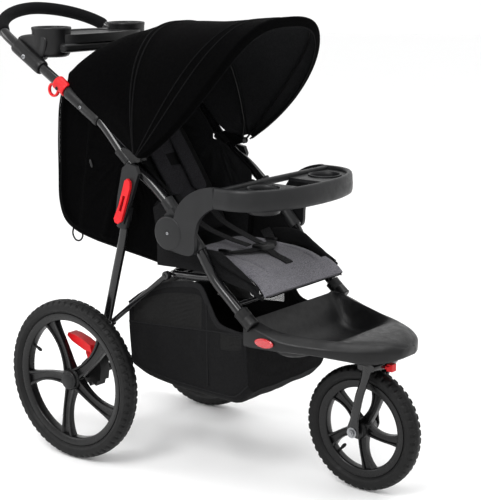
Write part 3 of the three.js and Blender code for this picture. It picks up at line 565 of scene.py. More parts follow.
LOOKS = {
    "tube": (lacquered("gloss black paint", (0.004, 0.004, 0.0045), 0.2), "gloss_black_tube"),
    # The bow wires use the gloss tube paint made five times darker: painted shade inside the canopy.
    "bow": (lacquered("bow wire paint darkened as painted shade", (0.0008, 0.0008, 0.0009), 0.55), "gloss_black_tube"),
    "black plastic": (moulded("matte black plastic", (0.0034, 0.0034, 0.0037), 0.4, level=0.26),
                      "matte_black_plastic"),
    "grey plastic": (moulded("dark grey plastic", (0.0068, 0.007, 0.0076), 0.42, level=0.26),
                     "grey_plastic"),
    "wheel": (moulded("wheel plastic", (0.0026, 0.0026, 0.0028), 0.3, level=0.28), "wheel_plastic"),
    "tyre": (rubber("tyre rubber", (0.0038, 0.0038, 0.0039), 0.55), "tyre_rubber"),
    "foam": (foam("grip foam", (0.0035, 0.0035, 0.0038)), "foam"),
    "red": (moulded("red plastic", (0.55, 0.008, 0.012), 0.42, wear=1.15), "red_plastic"),
    "steel": (bright_metal("steel", (0.3, 0.305, 0.315), 0.32), "steel"),
    "charcoal": (
        cloth("charcoal cloth", (0.0105, 0.0108, 0.0117), (0.0205, 0.021, 0.0225), 1.4, "UV", level=0.14),
        "charcoal_fabric",
    ),
    # The lining is the black fabric made several times darker: painted shade on the inner sides of the
    # canopy and the back tub.
    "painted_shade_lining": (
        cloth("black inner cloth with painted shade", (0.0005, 0.0005, 0.0006), (0.0012, 0.0012, 0.0013), 1.4, "UV", sheen=0,
              level=0.02),
        "black_fabric",
    ),
    "black cloth": (
        cloth("black cloth", (0.003, 0.003, 0.0033), (0.0072, 0.0072, 0.0078), 1.6, level=0.1),
        "black_fabric",
    ),
    "grey cloth": (
        cloth("grey melange cloth", (0.062, 0.06, 0.07), (0.2, 0.195, 0.215), 1.5, sheen=0.15, melange=520,
              level=0.15),
        "grey_fabric",
    ),
    # The seat's grey melange made about five times darker: painted shade on the seat back's inserts and the
    # shoulder pads.
    "grey cloth in painted shade": (
        cloth("grey melange cloth with painted shade", (0.012, 0.0118, 0.0135), (0.034, 0.033, 0.037), 1.5, melange=520),
        "grey_fabric",
    ),
    "net": (netting("basket netting", (0.006, 0.006, 0.006), 3.2), "black_fabric"),
    "webbing": (webbing("black webbing", (0.0045, 0.0045, 0.005)), "black_fabric"),
    "piping": (
        cloth("piping cord", (0.0015, 0.0015, 0.0017), (0.004, 0.004, 0.0044), 0.9, depth=0.0002,
              level=0.05),
        "black_fabric",
    ),
    "reflector": (prism_reflector("red reflector", (0.62, 0.006, 0.014)), "reflector_red"),
}


# ---------------------------------------------------------------- camera, light and floor
def soft_light(name, place, size, power, target=(0, -0.05, 0.5)):
    lamp = bpy.data.lights.new(name, "AREA")
    lamp.shape = "RECTANGLE"
    lamp.size, lamp.size_y = size
    lamp.energy = power
    obj = linked(name, lamp)
    obj.location = place
    obj.rotation_mode = "QUATERNION"
    obj.rotation_quaternion = (Vector(target) - Vector(place)).to_track_quat("-Z", "Y")


# Lamps as (name, place, size, watts), and the strength of the white surroundings.
LAMPS = [
    ("key", (-2.6, -0.4, 3.0), (1.2, 1.6), 75),
    ("fill", (-2.0, 2.6, 1.7), (1.2, 1.6), 22),
    ("top", (0.4, -0.6, 3.4), (2.0, 2.0), 45),
]
SURROUNDINGS = 1.03
FLOOR_Z = -0.6  # just under the tyres, in mm
FLOOR_RADII = (100, 1500, 5000, 16000)


def build_stage():
    """The camera, the white surroundings, the lamps and the floor."""
    camera = bpy.data.cameras.new("camera")
    camera.lens = CAMERA_LENS
    camera.sensor_width = 36
    camera.clip_end = 200
    obj = linked("camera", camera)
    a, e = math.radians(CAMERA_AZIMUTH), math.radians(CAMERA_PITCH)
    back = Vector((math.sin(a) * math.cos(e), -math.cos(a) * math.cos(e), math.sin(e)))
    obj.location = CAMERA_PLACE
    obj.rotation_mode = "QUATERNION"
    obj.rotation_quaternion = (-back).to_track_quat("-Z", "Y")
    bpy.context.scene.camera = obj

    world = bpy.data.worlds.new("studio")
    world.use_nodes = True
    world.node_tree.nodes["Background"].inputs["Color"].default_value = (1, 1, 1, 1)
    world.node_tree.nodes["Background"].inputs["Strength"].default_value = SURROUNDINGS
    bpy.context.scene.world = world
    bpy.context.scene.view_settings.view_transform = "Standard"

    for lamp in LAMPS:
        soft_light(*lamp)

    rings = [[(r * math.cos(t), r * math.sin(t), FLOOR_Z) for t in np.linspace(0, 2 * math.pi, 64, False)]
             for r in FLOOR_RADII]
    floor = bare_object("floor", (np.array(rings).reshape(-1, 3), grid_faces(4, 64, False, True)
                                  + [tuple(range(64))]))
    n = Nodes("pale floor")
    n.output(Base_Color=n.blend_colours(n.noise(3, 3), (0.955, 0.955, 0.955), (0.975, 0.975, 0.975)))
    n.output(Roughness=n.ranged(n.noise(25, 4), 0.34, 0.46))
    n.set(Specular_IOR_Level=0.35)
    floor.data.materials.append(n.material)


build_stage()


# ---------------------------------------------------------------- wheels
def tyre_mesh(wheel, track_x, blocks):
    """A tyre with shoulder blocks, a zigzag middle rib and rings on the side walls."""
    radius, half, groove = wheel["radius"], wheel["half"], wheel["groove"]
    depth = radius - groove
    wall = [
        (groove, half * 0.6),
        (groove + depth * 0.1, half * 0.78),
        (groove + depth * 0.2, half * 0.92),
        (groove + depth * 0.27, half * 0.955),
        (groove + depth * 0.3, half * 0.985),
        (groove + depth * 0.36, half * 0.985),
        (groove + depth * 0.4, half * 0.975),
        (groove + depth * 0.55, half),
        (groove + depth * 0.66, half * 0.985),
        (radius - 8.2, half * 0.93),
        (radius - 6.6, half * 0.9),
        (radius - 4.2, half * 0.78),
        (radius - 2.4, half * 0.64),
        (radius - 1.6, half * 0.56),
        (radius - 1.2, half * 0.44),
        (radius - 0.6, half * 0.34),
        (radius - 0.2, half * 0.2),
        (radius, 0.0),
    ]
    profile = np.array(wall + [(r, -x) for r, x in wall[-2::-1]])
    steps = blocks * 6
    rings = []
    for i in range(steps):
        phase = (i % 6) / 6
        angle = 2 * math.pi * i / steps
        row = []
        for r, x in profile:
            share = abs(x) / half
            high = r > radius - 9
            between = phase > 0.62 if x > 0 else 0.12 < phase < 0.5
            cut = 0.0
            if high and 0.5 < share < 0.97 and between:
                cut = 3.6
            if high and 0.3 < share < 0.5:
                cut = 1.9 if 0.3 < phase < 0.95 else 1.1
            if high and share <= 0.3 and phase > 0.8:
                cut = 1.2
            row.append((track_x + x, wheel["y"] + (r - cut) * math.cos(angle),
                        wheel["z"] + (r - cut) * math.sin(angle)))
        rings.append(row)
    return loft(rings, closed=True)[0], grid_faces(steps, len(profile), True, True)


def wheel_mesh(wheel, track_x, hub, first_angle):
    """A moulded wheel: channelled rim, five curved spokes with raised edges, and a hub."""
    opening, bed, half = wheel["open"], wheel["groove"] - 0.4, hub["rim"]
    right_side = [
        (opening, half * 0.3),
        (opening + 0.6, half * 0.72),
        (opening + 2.6, half * 0.86),
        (opening + 7, half * 0.95),
        (opening + 10.5, half),
        (bed - 2, half + 1.2),
        (bed - 0.3, half + 0.6),
        (bed, half - 0.5),
    ]
    profile = right_side + [(r, -x) for r, x in right_side[::-1]]
    rim = lathe(profile, (track_x, wheel["y"], wheel["z"]), sides=120, closed=True)
    centre = (wheel["y"], wheel["z"])
    reach = opening + 3
    stations = np.linspace(0, 1, 15)
    blade = []
    for t in stations:
        r = hub["radius"] - 6 + (reach - hub["radius"] + 6) * t
        bend = hub["radius"] * 0.3 * math.sin(math.pi * t) - hub["radius"] * 0.1 * t
        width = hub["radius"] * (0.45 + 0.15 * (2 * t - 1) ** 2 + 0.2 * t ** 6)
        thick = hub["spoke"] * (1.0 + 0.35 * t ** 5 + 0.5 * (1 - t) ** 5)
        ring = []
        for side, up in [(-1, -0.55), (-0.94, -0.95), (-0.78, -1), (-0.6, -0.92), (-0.46, -0.4),
                         (0, -0.28), (0.46, -0.4), (0.6, -0.92), (0.78, -1), (0.94, -0.95), (1, -0.55),
                         (1, 0.55), (0.94, 0.95), (0.78, 1), (0.6, 0.92), (0.46, 0.4), (0, 0.28),
                         (-0.46, 0.4), (-0.6, 0.92), (-0.78, 1), (-0.94, 0.95), (-1, 0.55)]:
            ring.append((track_x + up * thick, centre[0] + r, centre[1] + bend + side * width))
        blade.append(ring)
    spoke = loft(blade)
    spokes = [turned(spoke, centre, first_angle + 72 * k) for k in range(5)]
    h, r = hub["half"], hub["radius"]
    barrel = lathe(
        [(hub["bore"], -h), (r - 6, -h), (r - 3, -h + 1), (r - 2.4, -h + 4), (r, -h + 6), (r + 1.4, -6),
         (r + 1.4, 6), (r, h - 6), (r - 2.4, h - 4), (r - 3, h - 1), (r - 6, h), (hub["bore"], h)],
        (track_x, *centre), sides=56, closed=True)
    return merged(rim, barrel, *spokes)


def valve_mesh(wheel, track_x, degrees):
    """An air valve that sticks out of the rim towards the hub."""
    opening = wheel["open"]
    line = [(track_x, wheel["y"] + r, wheel["z"]) for r in (opening + 4, opening - 6, opening - 14,
                                                            opening - 26)]
    stem = sweep(smooth_line(line, 2), circle(3.2, 14))
    cap_line = [(track_x, wheel["y"] + r, wheel["z"]) for r in np.linspace(opening - 25, opening - 12, 9)]
    cap = sweep(cap_line, circle(4.3, 14), sizes=rounded_ends(9, 0.2))
    return turned(merged(stem, cap), (wheel["y"], wheel["z"]), degrees)


REAR_HUB = {"radius": 27, "half": 17, "bore": 6.3, "rim": 15, "spoke": 8}
FRONT_HUB = {"radius": 22, "half": 31, "bore": 5.3, "rim": 14, "spoke": 8}

for side, sign in SIDES:
    body = f"rear_wheel_{side}"
    x = sign * REAR_TRACK_X
    piece(f"tyre_rear_{side}", tyre_mesh(REAR_WHEEL, x, 62), "tyre", body, [f"rear_tyre_{side}"])
    piece(f"wheel_rear_{side}", wheel_mesh(REAR_WHEEL, x, REAR_HUB, 63), "wheel", body, [body],
          sharp_angle=50)
    piece(f"valve_rear_{side}", valve_mesh(REAR_WHEEL, x, 25), "tyre", body)
    face = REAR_TRACK_X + 17.3
    cap_profile = [(24, face), (24.2, face + 1.4), (23.6, face + 3), (22, face + 4.2), (19.5, face + 5.2),
                   (19, face + 6.2), (17.4, face + 7.2), (12, face + 8.1), (6, face + 8.7), (0.4, face + 9)]
    cap = lathe([(r, sign * p) for r, p in cap_profile], REAR_AXLE, sides=56)
    piece(f"cap_rear_{side}", cap, "black plastic", body, [f"hub_cap_{side}"])

piece("tyre_front", tyre_mesh(FRONT_WHEEL, 0, 48), "tyre", "front_wheel", ["front_tyre"])
piece("wheel_front", wheel_mesh(FRONT_WHEEL, 0, FRONT_HUB, 43), "wheel", "front_wheel", ["front_wheel"],
      sharp_angle=50)
piece("valve_front", valve_mesh(FRONT_WHEEL, 0, -47), "tyre", "front_wheel")

# ---------------------------------------------------------------- rear frame
axle_profile = [(0.4, -272), (5.4, -271.6), (6, -270), (6, -231), (9.2, -230), (10, -228),
                (10, 228), (9.2, 230), (6, 231), (6, 270), (5.4, 271.6), (0.4, 272)]
piece("axle_tube", lathe(axle_profile, REAR_AXLE, sides=32), "tube", "rear_frame",
      ["rear_axle"])

LEG_ROUTE = [(-133, 632), (-117, 556), (-94, 472), (-64, 362), (-38, 275), (-22, 226)]
for side, sign in SIDES:
    leg = sweep(smooth_line([point(sign * LEG_X, p) for p in LEG_ROUTE]), circle(11, 28))
    piece(f"leg_tube_{side}", leg, "tube", "rear_frame", [f"rear_leg_{side}"])
    dress(f"fold_bracket_{side}", "grey plastic", 1.6)
    dress(f"brake_housing_{side}", "black plastic", 1.2)
    dress(f"brake_pedal_{side}", "red", 1.5)
    dress(f"safety_lever_{side}", "red", 1.4)


# ---------------------------------------------------------------- upper frame
UPPER_ROUTE = [along(SPLIT, -4), along(SPLIT, -45), (-240, 672), (-202, 702), MAIN_PIVOT, (-122, 757),
               (-92, 789), (-66, 816), (-40, 838)]
STRAIGHT_FROM = np.array((-40.0, 838.0))
ARCH_FROM = np.array((269.0, 1024.0))
ARCH_RISE = 116
ARCH_POWER = 1.85
SLOPE = (ARCH_FROM - STRAIGHT_FROM) / np.linalg.norm(ARCH_FROM - STRAIGHT_FROM)


def arch(half, rise, power, count, start=0.0):
    """Half a superellipse from one side over the top to the other, as (across, up)."""
    angles = np.linspace(start, math.pi - start, count)
    across = np.sign(np.cos(angles)) * np.abs(np.cos(angles)) ** (2 / power)
    return np.stack([-half * across, rise * np.abs(np.sin(angles)) ** (2 / power)], 1)


def handle_line():
    side_route = [tuple(p) for p in UPPER_ROUTE]
    side_route += [tuple(STRAIGHT_FROM + (ARCH_FROM - STRAIGHT_FROM) * t) for t in (0.25, 0.5, 0.75)]
    top = [(x, *(ARCH_FROM + SLOPE * up)) for x, up in arch(TUBE_X, ARCH_RISE, ARCH_POWER, 13)]
    return smooth_line(mirrored([point(-TUBE_X, p) for p in side_route], *top), 7)


HANDLE = handle_line()
piece("handle_bar", sweep(HANDLE, circle(TUBE_R, 28)), "tube", "upper_frame", ["handle_tube"])
grip = HANDLE[HANDLE[:, 1] > 284]
piece("grip_sleeve", sweep(grip, circle(16, 32), sizes=0.86 + 0.14 * rounded_ends(len(grip), 0.02)), "foam",
      "upper_frame", ["foam_grip"])


def collar(x, start, end, profile, sides=36):
    """A turned sleeve round a sloping tube. The profile is (radius, share of its length)."""
    line = np.array([np.array(point(x, start)) * (1 - t) + np.array(point(x, end)) * t for _, t in profile])
    direction = line[-1] - line[0]
    direction /= np.linalg.norm(direction)
    across = np.array((1.0, 0, 0))
    up = np.cross(direction, across)
    ring = circle(1, sides)
    rings = [p + r * (np.outer(ring[:, 0], across) + np.outer(ring[:, 1], up)) for p,
             (r, _) in zip(line, profile)]
    return loft(rings)


def sleeve_profile(radius, lip=1.2, bore=CLAMP_BORE):
    return [(bore, 0.0), (radius - 1.5, 0.0), (radius - 0.3, 0.015), (radius + lip * 0.5, 0.05),
            (radius, 0.1),
            (radius, 0.45), (radius - 0.5, 0.47), (radius - 0.5, 0.52), (radius, 0.54), (radius, 0.9),
            (radius + lip * 0.5, 0.95), (radius - 0.3, 0.985), (radius - 1.5, 1.0), (bore, 1.0)]


def screw_head(x, sign, centre, radius, height=2.0):
    """A domed screw with a hexagonal socket, facing sideways."""
    profile = [(radius, x), (radius, x + sign * height * 0.4), (radius * 0.85, x + sign * height * 0.9),
               (radius * 0.5, x + sign * height), (radius * 0.45, x + sign * height * 0.3),
               (0.3, x + sign * height * 0.3)]
    return lathe(profile, (0, *centre), sides=24)


for side, sign in SIDES:
    x = sign * TUBE_X
    piece(f"latch_tube_{side}", collar(x, (-42, 836), (62, 899), sleeve_profile(SLEEVE_R)), "black plastic",
          "upper_frame", [f"latch_sleeve_{side}"])
    piece(f"latch_rivet_{side}", screw_head(x + sign * 16, sign, (8, 866), 4.2), "steel", "upper_frame")

    # Red collar with its finger ring.
    trigger = f"fold_trigger_{side}"
    ring_line = [(x, 112 + 15 * math.cos(t), 901 + 15 * math.sin(t))
                 for t in np.linspace(0, 2 * math.pi, 40, endpoint=False)]
    finger = sweep(ring_line, circle(4.2, 14, 0.75, 3.0), across=(1, 0, 0), closed=True)
    red_sleeve = collar(x, (66, 901.8), (98, 921),
                        [(CLAMP_BORE, 0), (16.6, 0), (17.6, 0.05), (17.8, 0.12), (17.2, 0.3),
                                                    (17.2, 0.7), (17.8, 0.88), (17.6, 0.95), (16.6, 1),
                         (CLAMP_BORE, 1)])
    piece(f"trigger_{side}", merged(red_sleeve, finger), "red", trigger, [trigger])
    piece(f"trigger_rivet_{side}", screw_head(x + sign * 16.6, sign, (86, 907), 4.6, 1.6),
          "black plastic", trigger)

    dress(f"front_joint_{side}", "grey plastic", 1.5)
    dress(f"canopy_clip_{side}", "black plastic", 1.2)

    # C-shaped arm of the child tray, on its round joint cover.
    arm_edge = smooth_line([(-262, 561), (-290, 556), (-318, 551), (-346, 551), (-357, 560), (-361, 600),
                            (-369, 630), (-387, 652), (-410, 666.4), (-412.5, 667), (-413.6, 668.2),
                            (-413.8, 715.4), (-412.6, 716.6), (-380, 711), (-350, 698), (-325, 680),
                            (-305, 655), (-296, 632), (-280, 622), (-262, 626)], 5, closed=True)
    arm = piece(f"arm_{side}", slab(arm_edge, sign * ARM_X, sign * 220), "grey plastic", "upper_frame",
                [f"tray_arm_{side}"], edge=2.6)
    disc = [(3, ARM_X), (39.4, ARM_X), (40.5, ARM_X + 1.5), (40.5, ARM_X + 9), (39.6, ARM_X + 11),
            (38, ARM_X + 12), (35, ARM_X + 12.4), (6.4, ARM_X + 12.8), (5.6, ARM_X + 11.6),
            (0.5, ARM_X + 11.6)]
    piece(f"arm_disc_{side}", lathe([(r, sign * p) for r, p in disc], (0, *FRONT_PIVOT), sides=64),
          "grey plastic",
          "upper_frame")
    piece(f"arm_screw_{side}", screw_head(sign * (ARM_X + 11.4), sign, FRONT_PIVOT, 4.2, 2.2), "steel",
          "upper_frame")


# ---------------------------------------------------------------- parent tray
CUP = (137, 166)
cup_profile = [(0.5, 976), (36, 976), (42, 978.5), (45.5, 984), (47, 993), (47.8, 1008), (48.6, 1040),
               (49.6, 1044),
               (49.8, 1047), (48.6, 1049), (46, 1049.4), (43.6, 1048), (42.4, 1044), (41.5, 1020),
               (40, 990),
               (37, 984), (0.5, 982)]
deck_edge = smooth_line([(-138, 118), (-116, 103), (-60, 94), (0, 91), (60, 94), (116, 103), (138, 118),
                         (141, 166),
                         (138, 214), (112, 238), (60, 256), (0, 262), (-60, 256), (-112, 238), (-138, 214),
                         (-141, 166)], 7, closed=True)
deck = bare_object("parent_deck", column(deck_edge, 1010, 1032))
pocket_edge = smooth_line([(-70, 118), (0, 112), (70, 118), (80, 132), (80, 216), (68, 230), (0, 240),
                           (-68, 230),
                           (-80, 216), (-80, 132)], 7, closed=True)
cup_holes = [lathe([(0.5, 1000), (46.5, 1000), (46.5, 1040), (0.5, 1040)], (s * CUP[0], CUP[1], 0), "z")
             for _, s in SIDES]
cut_away(deck, *cup_holes, column(pocket_edge, 1029.4, 1040))
bevel(deck, 2.4)
settle(deck, "black plastic", "upper_frame", ["parent_tray"])
apron_edge = smooth_line([(-150, 108), (-90, 99), (0, 96), (90, 99), (150, 108), (150, 136), (80, 150),
                          (0, 154),
                          (-80, 150), (-150, 136)], 7, closed=True)
piece("parent_apron", column(apron_edge, 988, 1011), "black plastic", "upper_frame", edge=8)
for side, sign in SIDES:
    x = sign * TUBE_X
    piece(f"parent_cup_{side}", lathe(cup_profile, (sign * CUP[0], CUP[1], 0), "z", 72), "black plastic",
          "upper_frame")
    clamp_profile = [(CLAMP_BORE, 0), (17.4, 0), (18.6, 0.03), (19, 0.1), (19, 0.9), (18.6, 0.97), (17.4, 1),
                     (CLAMP_BORE, 1)]
    clamp = collar(x, (150, 951), (238, 1003.8), clamp_profile)
    web_edge = smooth_line([(158, 972), (176, 968), (226, 996), (240, 1008), (238, 1022), (214, 1030),
                            (150, 1030),
                            (140, 1018)], 6, closed=True)
    web = slab(web_edge, sign * 158, sign * 184)
    piece(f"parent_clamp_{side}", clamp, "black plastic", "upper_frame")
    piece(f"parent_web_{side}", web, "black plastic", "upper_frame", edge=5)
    piece(f"clamp_screw_{side}", screw_head(x + sign * 18.2, sign, (196, 978.5), 6, 2.4), "steel",
          "upper_frame")

# ---------------------------------------------------------------- child tray
CHILD_CUP = (122, -484)
TRAY_SIDE = [(220, -414.5), (220, -438), (219, -462), (211, -488), (196, -512), (174, -531), (146, -546),
             (110, -558), (66, -567)]
tray_line = smooth_line(mirrored(TRAY_SIDE, (0, -571)), 6)
skirt_section = np.array([(-3.5, 667.6), (-2, 668.4), (-0.4, 676), (0, 690), (-0.4, 692), (-1.4, 708),
                          (-3, 714),
                          (-6, 716.8), (-10, 717), (-13.4, 715.4), (-15.4, 711), (-16, 704), (-12, 700),
                          (-8, 690),
                          (-6, 676), (-6.5, 668.4)])


def skirt(line, section):
    """A wall whose section is (distance outwards, height), carried round a plan outline."""
    run = np.gradient(line, axis=0)
    run /= np.linalg.norm(run, axis=1)[:, None]
    outwards = np.stack([-run[:, 1], run[:, 0]], 1)
    middle = line.mean(0)
    if ((line - middle) * outwards).sum() < 0:
        outwards = -outwards
    rings = [[(*(p + out * d), z) for d, z in section] for p, out in zip(line, outwards)]
    return loft(rings)


piece("tray_skirt", skirt(tray_line, skirt_section), "grey plastic", "child_tray", ["child_tray"],
      sharp_angle=60)
for side, sign in SIDES:
    plate = smooth_line([(sign * 50, -431), (sign * 120, -428), (sign * 206, -424), (sign * 208, -460),
                         (sign * 190, -496), (sign * 150, -530), (sign * 90, -552), (sign * 50, -557),
                         (sign * 46, -552), (sign * 46, -436)], 7, closed=True)
    plate_obj = bare_object(f"tray_plate_{side}", column(plate, 700, 708))
    cup_centre = (sign * CHILD_CUP[0], CHILD_CUP[1], 0)
    cut_away(plate_obj, lathe([(0.5, 690), (38, 690), (38, 720), (0.5, 720)], cup_centre, "z"))
    bevel(plate_obj, 1.6)
    settle(plate_obj, "grey plastic", "child_tray")
    well = [(0.5, 652), (33, 652), (37, 654), (39.4, 660), (40, 700), (40.6, 709), (40, 711.6), (37.6, 712),
            (35.8, 710), (35, 704), (34, 664), (31, 658.6), (0.5, 657)]
    piece(f"tray_cup_{side}", lathe(well, cup_centre, "z", 64), "grey plastic", "child_tray")
    piece(f"tray_tongue_{side}",
          slab([(-424, 681), (-424, 703), (-380, 703), (-378, 698), (-378, 686), (-380, 681)],
                                      sign * 212.6, sign * 216.4), "black plastic", "child_tray", edge=0.8)
bar_line = np.linspace((-208, -430, 708.5), (208, -430, 708.5), 60)
bar_line[:, 1] += 2.5 * np.cos(np.linspace(-math.pi / 2, math.pi / 2, 60))
piece("tray_bar", sweep(bar_line, circle(6, 20, 1.35, 3.5), across=(0, 1, 0)), "grey plastic", "child_tray")

# ---------------------------------------------------------------- front frame
FRONT_ROUTE = [along(SPLIT, 4), along(SPLIT, 42), (-352, 557), (-369, 531), (-387, 504), (-411, 479),
               (-440, 454),
               (-470, 428), (-494, 408)]
# Footrest stations as (y, half width, underside z, outer edge z, lip z, floor z).
FOOTREST = [(-480, 192, 352, 406, 415, 411), (-502, 193, 352, 402, 412, 381),
            (-524, 193, 353, 397, 405, 349),
            (-545, 192, 354, 391, 399, 337), (-575, 187, 354, 381, 394, 333),
            (-610, 176, 354, 376, 390, 340),
            (-645, 163, 353, 374, 387, 357), (-680, 151, 350, 373, 385, 378),
            (-720, 130, 344, 371, 383, 385),
            (-752, 109, 338, 369, 380, 384), (-784, 72, 338, 366, 374, 378), (-804, 30, 344, 360, 365, 367)]


def footrest_mesh():
    """A moulded shell, open underneath, with a deep foot well behind a rounded nose."""
    stations = smooth_line(FOOTREST, 8)
    rings = []
    for y, half, under, edge, lip, floor in stations:
        inward = min(30.0, half * 0.34)
        depth = lip - floor
        shelf = inward * 0.75
        over = [(-half + 5, under), (-half + 1.5, under + 3), (-half, under + 9), (-half, edge - 6),
                (-half + 0.8, edge - 2.4), (-half + 3.2, edge - 0.4),
                (-half + shelf * 0.5, edge + (lip - edge) * 0.5),
                (-half + shelf, lip - 0.8), (-half + shelf + 3, lip),
                (-half + shelf + 6, lip - 0.08 * depth),
                (-half + shelf + 9, lip - 0.25 * depth), (-half + shelf + 14, lip - 0.62 * depth),
                (-half + shelf + 20, lip - 0.88 * depth), (-half + shelf + 28, floor + 0.02 * depth)]
        reach = -over[-1][0]
        middle = [(t * reach,
                   floor - 0.03 * depth * math.cos(t * math.pi / 2)) for t in np.linspace(-0.88, 0.88, 13)]
        if reach < 4:
            over = [(x * 0.8 if k > 8 else x, z) for k, (x, z) in enumerate(over)]
            middle = [(t * 2, floor) for t in np.linspace(-0.88, 0.88, 13)]
        ring = over + middle + [(-x, z) for x, z in over[::-1]]
        rings.append([(x, y, z) for x, z in ring])
    points = np.array(rings).reshape(-1, 3)
    rows, columns = len(rings), len(rings[0])
    faces = grid_faces(rows, columns)
    faces.append(tuple(range(columns)))
    faces.append(tuple((rows - 1) * columns + j for j in range(columns)))
    return points, faces


shell = bare_object("footrest_shell", footrest_mesh(), 50)
wall = shell.modifiers.new("wall", "SOLIDIFY")
wall.thickness = 0.003
wall.offset = -1
settle(shell, "black plastic", "front_frame", ["footrest"])
boss_profile = [(8.6, 331), (20, 330), (31, 331.5), (34, 335), (35, 342), (35, 356), (33, 362), (8.6, 362)]
piece("nose_boss", lathe(boss_profile, STEER_AXIS, "z", 56, True), "black plastic", "front_frame")

for side, sign in SIDES:
    x = sign * TUBE_X
    tube_line = smooth_line([point(x, p) for p in FRONT_ROUTE])
    piece(f"lower_tube_{side}", sweep(tube_line, circle(TUBE_R, 28)), "tube", "front_frame",
          [f"front_tube_{side}"])
    dress(f"front_knuckle_{side}", "grey plastic", 1.4)
    socket = collar(sign * (TUBE_X - 2), (-466, 431.7), (-503, 400.4), sleeve_profile(17.5, 1.6))
    piece(f"foot_socket_{side}", socket, "black plastic", "front_frame")
    shape = circle(1, 40)
    lens = [[(sign * px, -540 + s[0] * 26 * k, 371 + s[1] * 11 * k) for s in shape]
            for px, k in ((193.2, 1.0), (194.6, 1.0), (196, 0.95), (196.8, 0.84), (197, 0.6))]
    piece(f"side_reflector_{side}", loft(lens), "reflector", "front_frame", [f"reflector_{side}"])

cross = np.linspace((-174.2, -452, 444), (174.2, -452, 444), 30)
piece("cross_tube", sweep(cross, circle(6, 20)), "tube", "front_frame", ["front_cross_bar"])
piece("bearing_ring",
      lathe([(8.4, 325), (23, 325), (24.2, 326.2), (24.2, 330.4), (23, 331.6), (8.4, 331.6)],
                            STEER_AXIS, "z", 56, True), "grey plastic", "front_frame", ["steering_bearing"])


# ---------------------------------------------------------------- fork
def fork_blade(sign):
    """One blade of the fork, wide at the crown and slim above the axle."""
    stations = [(318, -722, 17, 44, 8.5), (306, -721, 13.5, 44, 8.4), (280, -715, 11, 44, 8.2),
                (245, -703, 10.5, 44, 8),
                (205, -694, 10.5, 44, 7.6), (176, -688, 11.5, 44, 6.6), (162, -686, 15, 44, 5),
                (150, -686, 16, 44, 4.6),
                (139, -686, 12, 44, 4.4)]
    rings = []
    for z, y, wide, x, thick in smooth_line(stations, 6):
        ring = circle(1, 24, power=2.3)
        rings.append([(sign * x + c[0] * thick, y + c[1] * wide, z) for c in ring])
    return loft(rings)


crown_rings = []
for x in np.linspace(-51, 51, 25):
    edge = 1 - 0.16 * abs(x / 51) ** 4
    crown_rings.append([(x, STEER_AXIS[1] + c[0] * 27 * edge,
                         313.5 + c[1] * 10.6 * edge) for c in circle(1, 28, power=3.4)])
fork_parts = [loft(crown_rings), fork_blade(1), fork_blade(-1)]
fork_parts.append(lathe([(0.5, 318), (8, 318), (8, 354), (7, 356), (0.5, 356)], STEER_AXIS, "z", 28))
piece("fork_frame", merged(*fork_parts), "tube", "fork", ["front_fork"], sharp_angle=50)
bolt_parts = [lathe([(0.5, -57), (5, -57), (5, 57), (0.5, 57)], FRONT_AXLE, sides=24)]
for side, sign in SIDES:
    washer = [(12.6, sign * 49.2), (12.6, sign * 50.8), (7, sign * 51)]
    bolt_parts.append(lathe(washer, FRONT_AXLE, sides=32))
    head = [(8.8, sign * 51), (9, sign * 52.4), (8.4, sign * 55.6), (5.4, sign * 56), (5.2, sign * 58.4),
            (0.5, sign * 58.8)]
    bolt_parts.append(lathe(head, FRONT_AXLE, sides=6))
piece("fork_bolt", merged(*bolt_parts), "steel", "fork", ["front_axle_bolt"], sharp_angle=25)
dress("swivel_lock", "red", 1.2)

# ---------------------------------------------------------------- seat frame
RAIL_SIDE = [point(-RAIL_X, RAIL_PIVOT), (-RAIL_X, -350, 489), (-RAIL_X, -285, 485), (-156, -246, 483),
             (-130, -238, 482)]
rail_line = smooth_line(mirrored(RAIL_SIDE, (0, -238, 482)), 7)
rail_parts = [sweep(rail_line, circle(9, 24))]
for side, sign in SIDES:
    rail_parts.append(lathe([(0.5, sign * 151), (11.4, sign * 151), (12.2, sign * 153), (12.2, sign * 167),
                             (11.4, sign * 169), (0.5, sign * 169)], (0, *RAIL_PIVOT), sides=28))
    rail_parts.append(lathe([(0.5, sign * 155), (4, sign * 155), (4, sign * 184), (0.5, sign * 184)],
                            (0, *RAIL_PIVOT), sides=16))
    rail_parts.append(lathe([(0.5, sign * 148), (4, sign * 148), (4, sign * 182), (0.5, sign * 182)],
                            (0, *BRACE_PIVOT), sides=16))
    bar = sweep(np.linspace(point(sign * BRACE_X, BRACE_PIVOT), point(sign * BRACE_X, BRACE_FOOT), 24),
                circle(6.5, 24))
    ends = [lathe([(4.4, sign * 170.5), (r, sign * 170.5), (r + 0.8, sign * 172), (r + 0.8, sign * 182),
                   (r, sign * 183.5), (4.4, sign * 183.5)], (0, *c), sides=28, closed=True)
            for r, c in ((9.4, BRACE_PIVOT), (8.6, BRACE_FOOT))]
    piece(f"brace_bar_{side}", merged(bar, *ends), "tube", "brace", [f"brace_{side}"])
    piece(f"brace_pin_{side}", screw_head(sign * 183.5, sign, BRACE_FOOT, 6, 2.4), "steel", "brace")
piece("rail_tube", merged(*rail_parts), "tube", "seat_rail", ["seat_rail"])


# ---------------------------------------------------------------- padded pieces
def pad_mesh(stations, count=28, spacing=9):
    """A crowned pad. A station is (y, z, half width, thickness, up y, up z, middle x)."""
    rings = []
    for y, z, half, thick, up_y, up_z, x in smooth_line(stations, spacing):
        ring = []
        for c, s in zip(np.cos(np.linspace(0, 2 * math.pi, count, False)),
                        np.sin(np.linspace(0, 2 * math.pi, count, False))):
            across = np.sign(c) * abs(c) ** 0.5 * half
            rise = np.sign(s) * abs(s) ** 0.62 * thick / 2
            ring.append((x + across, y + up_y * rise, z + up_z * rise))
        rings.append(ring)
    return loft(rings)


